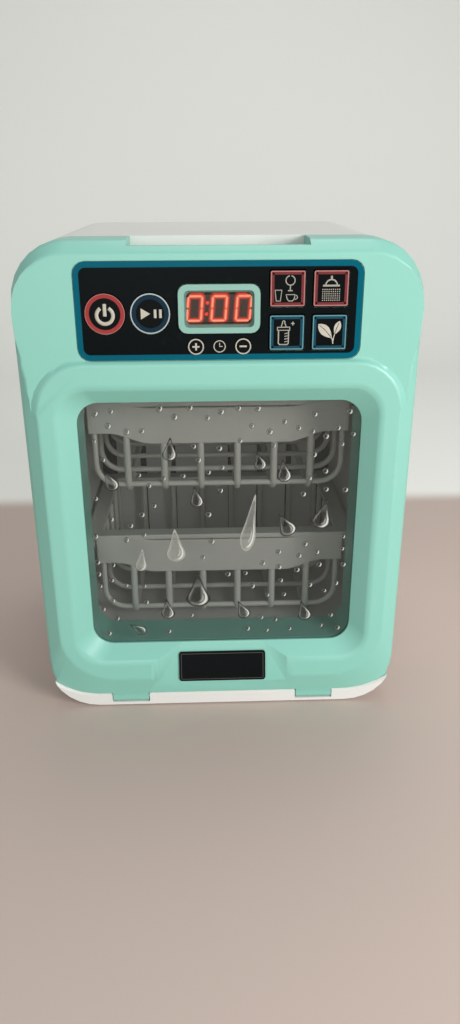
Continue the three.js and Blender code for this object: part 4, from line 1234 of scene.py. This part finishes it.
class DISHWASHER_OT_keys(bpy.types.Operator):
    """Make the eight keys with their rings, frames and symbols"""

    bl_idname = "dishwasher.keys"
    bl_label = "Keys"

    # The two rows of square keys, each with its inks.
    squares = (
        (("glassware_key", "spray_key"), "rose"),
        (("bottle_key", "leaf_key"), "sea"),
    )

    def execute(self, context):
        edge = sizes().key_rounding / mm(1)
        for node in ("power_key", "play_pause_key", "plus_key", "minus_key", "glassware_key", "spray_key",
                     "bottle_key", "leaf_key"):
            moulding(node, node + "_cap", "key plastic", edge)
        self.power()
        self.play()
        self.small("plus_key", upright=True)
        self.small("minus_key", upright=False)
        for nodes, tone in self.squares:
            for node in nodes:
                self.frame(node, tone)
        self.glassware()
        self.spray()
        self.bottle()
        self.leaf()
        return {"FINISHED"}

    def power(self):
        art = Artwork("power_key")
        art.put("power_ring", "red ring ink", art.ring(10.9, 2.3))
        rim = art.loop(10.75, HAIR, end=354, steps=60, over=OVER_RING)
        art.put("power_rim", "rose line ink", rim)
        curve = art.line(arc(0, -0.8, 4.5, start=120, end=420, steps=32), 2.3)
        bar = art.line([(0, -1.2), (0, 5.5)], 2.1)
        art.put("power_symbol", "light ink", curve, bar)

    def play(self):
        art = Artwork("play_pause_key")
        rim = art.loop(10.6, PLAIN, end=354, steps=60, over=OVER_RING)
        art.put("play_rim", "pale line ink", rim)
        art.put("play_band", "blue band ink", art.ring(10.2, 2.4))
        arrow = art.shape([(-5.1, -3.0), (0.1, 0), (-5.1, 3.0)])
        bars = [art.line([(x, -2.3), (x, 2.3)], 1.6) for x in (2.7, 5.6)]
        art.put("play_symbol", "light ink", arrow, *bars)

    def small(self, node, upright):
        art = Artwork(node)
        pieces = [art.loop(4.1, PLAIN, end=352, steps=40), art.line([(-2.0, 0), (2.0, 0)], FULL)]
        if upright:
            pieces.append(art.line([(0, -2.0), (0, 2.0)], FULL))
        art.put(node.replace("key", "symbol"), "light ink", *pieces)

    def frame(self, node, tone):
        """The band and the thin line round a square key."""
        half, corner = 9.4, 0.9
        art = Artwork(node)
        band = art.square(half, 2.0, corner)
        art.put(node.replace("key", "band"), tone + " band ink", band)
        line = art.square(half, FINE, corner, over=OVER_BAND)
        art.put(node.replace("key", "frame"), tone + " line ink", line)

    def glassware(self):
        art = Artwork("glassware_key")
        bowl = arc(1.3, 4.3, 2.5, start=40, end=500, steps=30)[4:-4]
        stem = [(1.3, 1.8), (1.3, -1.0)]
        foot = [(0.0, -1.1), (2.6, -1.1)]
        tumbler = [(-7.0, -0.8), (-6.3, -6.6), (-4.0, -6.6), (-3.3, -0.8)]
        cup = [(-0.9, -3.2), (-0.3, -5.6), (0.7, -6.6), (2.6, -6.6), (3.5, -5.6), (4.0, -3.2)]
        handle = arc(4.2, -4.6, 1.1, start=80, end=-100, steps=8)
        art.put(
            "glassware_symbol", "dim ink",
            *(art.line(path, THIN) for path in (bowl, stem, foot)),
            *(art.line(path, THIN, closed=True) for path in (tumbler, cup)),
            art.line(handle, FINE),
        )

    def spray(self):
        art = Artwork("spray_key")
        rows, columns, pitch, first_row, dot_radius = 6, 9, 1.15, -0.6, 0.36
        pieces = [
            art.line([(-4.6, 1.4), (4.6, 1.4)], BOLD),
            art.line(arc(0, 1.4, 3.2, start=0, end=180), FIRM),
            art.line([(0, 4.6), (0, 6.6)], BOLD),
        ]
        corner = art.middle + Vector((-mm(pitch) * (columns // 2), 0, mm(first_row)))
        dot = thicken(flat_disc(mm(dot_radius), corner, sides=8), art.depth)
        pieces.append(dot)
        for i in range(1, rows * columns):
            row, column = divmod(i, columns)
            pieces.append(copy_of(dot, (mm(column * pitch), 0, -mm(row * pitch))))
        art.put("spray_symbol", "dim ink", *pieces)

    def bottle(self):
        art = Artwork("bottle_key")
        teat = [(-3.2, 3.3), (-2.9, 4.6), (-2.6, 5.0), (-2.5, 6.2), (-1.9, 6.6), (-1.3, 6.2), (-1.2, 5.0),
                (-0.9, 4.6), (-0.6, 3.3)]
        collar = [(-5.3, 3.0), (-5.3, 1.3), (1.5, 1.3), (1.5, 3.0)]
        flask = [(-4.7, 1.2), (-4.7, -5.8), (-4.0, -6.6), (0.2, -6.6), (0.9, -5.8), (0.9, 1.2)]
        marks = [[(-1.3, up), (0.5, up + 0.4)] for up in (-0.6, -2.1, -3.6, -5.1)]
        star = [[(2.2, 5.0), (4.2, 5.0)], [(3.2, 4.0), (3.2, 6.0)]]
        art.put(
            "bottle_symbol", "dim ink",
            art.line(teat, THIN),
            art.line(collar, PLAIN, closed=True),
            art.line(flask, PLAIN),
            *(art.line(path, FINE) for path in marks),
            *(art.line(path, THIN) for path in star),
        )

    def blade(self, tip, foot, swell):
        """The outline of a leaf between its tip and its foot, fuller on one side."""
        steps, fullness, lean = 8, 0.85, 0.9
        tip, foot = Vector(tip), Vector(foot)
        along = foot - tip
        side = Vector((-along.y, along.x)).normalized()
        shares = [i / steps for i in range(steps + 1)]
        full, lean_side = (
            [tuple(tip + along * t + side * (math.sin(math.pi * t ** fullness) * width)) for t in shares]
            for width in (swell, -swell * lean)
        )
        return full + lean_side[-2:0:-1]

    def leaf(self):
        art = Artwork("leaf_key")
        stalks = [[(1.4, -3.2), (2.0, -4.6), (2.2, -6.4)], [(2.9, -1.4), (2.4, -3.2), (2.2, -4.8)]]
        veins = [[(-5.6, 3.8), (-2.4, 1.2), (1.2, -3.0)], [(5.2, 5.0), (4.0, 2.2), (3.0, -0.9)]]
        art.put(
            "leaf_symbol", "light ink",
            art.shape(self.blade(tip=(-6.4, 4.6), foot=(1.6, -3.4), swell=2.9)),
            art.shape(self.blade(tip=(5.6, 6.2), foot=(2.9, -1.4), swell=2.0)),
            *(art.line(path, THIN) for path in stalks),
        )
        lines = [art.line(path, HAIR, over=OVER_BAND) for path in veins]
        art.put("leaf_veins", "dark ink", *lines)


class DISHWASHER_OT_display(bpy.types.Operator):
    """Make the display: its mint bezel, smoked lens, module and lit digits"""

    bl_idname = "dishwasher.display"
    bl_label = "Display"

    # How far the segments stand off the module, how thick they are, and the seam between two of them.
    clear, depth, seam = mm(0.05), mm(0.12), mm(0.35)

    # The colon's dots, and how far above and below its middle they lie.
    dot_radius, dot_rise = mm(0.95), mm(3)

    def execute(self, context):
        moulding("display_bezel", "display_bezel_moulding", "bezel plastic", 0.8, segments=3)
        moulding("display_lens", "display_lens_moulding", "display lens plastic", 0.2)
        moulding("display_module", "display_module_body", "display module face", 0.2)
        self.digits()
        return {"FINISHED"}

    def segment(self, middle, length, thick, upright):
        """One segment: a bar with pointed ends."""
        half, reach = thick / 2 / mm(1), length / 2 / mm(1)
        points = [(-reach, 0), (half - reach, half), (reach - half, half), (reach, 0), (reach - half, -half),
                  (half - reach, -half)]
        if upright:
            points = [(up, across) for across, up in points]
        return Artwork("display_module", middle, self.depth).shape(points)

    def digits(self):
        size = sizes()
        wide, tall, thick = size.digit_width, size.digit_height, size.segment
        middles = digit_middles()
        for middle in middles:
            middle.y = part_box("display_module")[0].y - self.clear
        pieces = []
        for middle in middles:
            for side in (-1, 1):
                bar = middle + Vector((0, 0, side * tall / 2))
                pieces.append(self.segment(bar, wide - self.seam, thick, upright=False))
                for up in (-1, 1):
                    post = middle + Vector((side * wide / 2, 0, up * tall / 4))
                    pieces.append(self.segment(post, tall / 2 - self.seam, thick, upright=True))
        colon = (middles[0] + middles[1]) / 2
        for up in (-1, 1):
            dot = flat_disc(self.dot_radius, colon + Vector((0, 0, up * self.dot_rise)), sides=16)
            pieces.append(thicken(dot, self.depth))
        piece = joined(pieces)
        for vertex in piece.data.vertices:
            vertex.co.x += (vertex.co.z - colon.z) * SLANT
        dress(piece, "display_digits", "door", "lit segment")


class DISHWASHER_OT_name_plate(bpy.types.Operator):
    """Make the bare black name plate"""

    bl_idname = "dishwasher.name_plate"
    bl_label = "Name plate"

    def execute(self, context):
        moulding("name_plate", "name_plate_moulding", "name plate plastic", 0.15)
        return {"FINISHED"}


class DISHWASHER_OT_fasteners(bpy.types.Operator):
    """Make the feet, hinge pins and screws"""

    bl_idname = "dishwasher.fasteners"
    bl_label = "Feet, pins and screws"

    # The cross in a screw's head: its arms as a share of the head, its depth, its width and its bevel.
    arm_share, cut_depth, cut_width, cut_inset = 0.56, mm(1.2), mm(0.8), mm(0.1)

    def execute(self, context):
        for i in range(1, 5):
            moulding(f"foot_{i}", f"foot_{i}_pad", "foot rubber", 0.4)
        for side in ("left", "right"):
            moulding(f"hinge_pin_{side}", f"hinge_pin_{side}_turned", "plated steel", 0.2)
        back, down = Vector((0, 1, 0)), Vector((0, 0, -1))
        for kind, facing in (("door", back), ("base", down), ("cover", back)):
            for i in range(1, 5):
                self.screw(f"{kind}_screw_{i}", facing)
        self.screw("battery_cover_screw", back)
        return {"FINISHED"}

    def screw(self, node, facing):
        """A screw with a cross cut into its head, which faces this way."""
        piece = moulding(node, node + "_turned", "plated steel", 0.08)
        low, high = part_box(node)
        top = (low + high) / 2 + facing * abs((high - low).dot(facing)) / 2
        arm = (high.x - low.x) * self.arm_share
        depth, width = self.cut_depth, self.cut_width
        cut = (arm, depth, width) if facing.y else (arm, width, depth)
        cross = primitive("cube", cut, size=1, location=top)
        with editing(cross):
            pick(cross, "faces", lambda face: abs(face.normal.x) > 0.9)
            bpy.ops.mesh.inset(thickness=self.cut_inset)
        second = copy_of(cross)
        second.data.transform(Matrix.Translation(-top))
        second.data.transform(Matrix.Rotation(math.pi / 2, 4, facing))
        second.data.transform(Matrix.Translation(top))
        for cutter in (cross, second):
            modify(piece, "BOOLEAN", object=cutter, operation="DIFFERENCE", solver="EXACT")
            bpy.data.objects.remove(cutter)


class DISHWASHER_OT_inside(bpy.types.Operator):
    """Make the parts inside the door: board, cells, contacts, tray, speaker and latch"""

    bl_idname = "dishwasher.inside"
    bl_label = "Parts inside the door"

    def execute(self, context):
        moulding("circuit_board", "circuit_board_made", "board lacquer")
        moulding("battery_tray", "battery_tray_moulding", "dark plastic", 0.3)
        for i in range(1, 4):
            moulding(f"battery_cell_{i}", f"battery_cell_{i}_wrapped", "cell wrap", 0.3)
        for side in ("left", "right"):
            moulding(f"battery_contact_{side}", f"battery_contact_{side}_pressed", "plated steel")
        moulding("speaker", "speaker_made", "speaker cone", 0.3)
        moulding("latch_tongue", "latch_tongue_moulding", "mint plastic", 0.4)
        moulding("latch_catch", "latch_catch_moulding", "dark plastic", 0.4)
        return {"FINISHED"}


OPERATORS = (
    DISHWASHER_OT_stage,
    DISHWASHER_OT_cabinet,
    DISHWASHER_OT_racks,
    DISHWASHER_OT_door,
    DISHWASHER_OT_window,
    DISHWASHER_OT_panel_film,
    DISHWASHER_OT_keys,
    DISHWASHER_OT_display,
    DISHWASHER_OT_name_plate,
    DISHWASHER_OT_fasteners,
    DISHWASHER_OT_inside,
)


class DISHWASHER_PT_panel(bpy.types.Panel):
    """Sizes, colours and pieces of the toy dishwasher"""

    bl_idname = "DISHWASHER_PT_panel"
    bl_label = "Toy dishwasher"
    bl_space_type = "VIEW_3D"
    bl_region_type = "UI"
    bl_category = "Toy dishwasher"

    def draw(self, context):
        for group in (context.scene.dishwasher_sizes, context.scene.dishwasher_colours):
            box = self.layout.box()
            for name in group.bl_rna.properties.keys():
                if name not in ("rna_type", "name"):
                    box.prop(group, name)
        for operator in OPERATORS:
            self.layout.operator(operator.bl_idname)


CLASSES = (DishwasherSizes, DishwasherColours, *OPERATORS, DISHWASHER_PT_panel)


def register():
    for made in CLASSES:
        bpy.utils.register_class(made)
    bpy.types.Scene.dishwasher_sizes = bpy.props.PointerProperty(type=DishwasherSizes)
    bpy.types.Scene.dishwasher_colours = bpy.props.PointerProperty(type=DishwasherColours)


def unregister():
    del bpy.types.Scene.dishwasher_colours
    del bpy.types.Scene.dishwasher_sizes
    for made in reversed(CLASSES):
        bpy.utils.unregister_class(made)


def main():
    register()
    for operator in OPERATORS:
        word = operator.bl_idname.split(".")[1]
        getattr(bpy.ops.dishwasher, word)()
    leave_edit_mode()


if __name__ == "__main__":
    main()
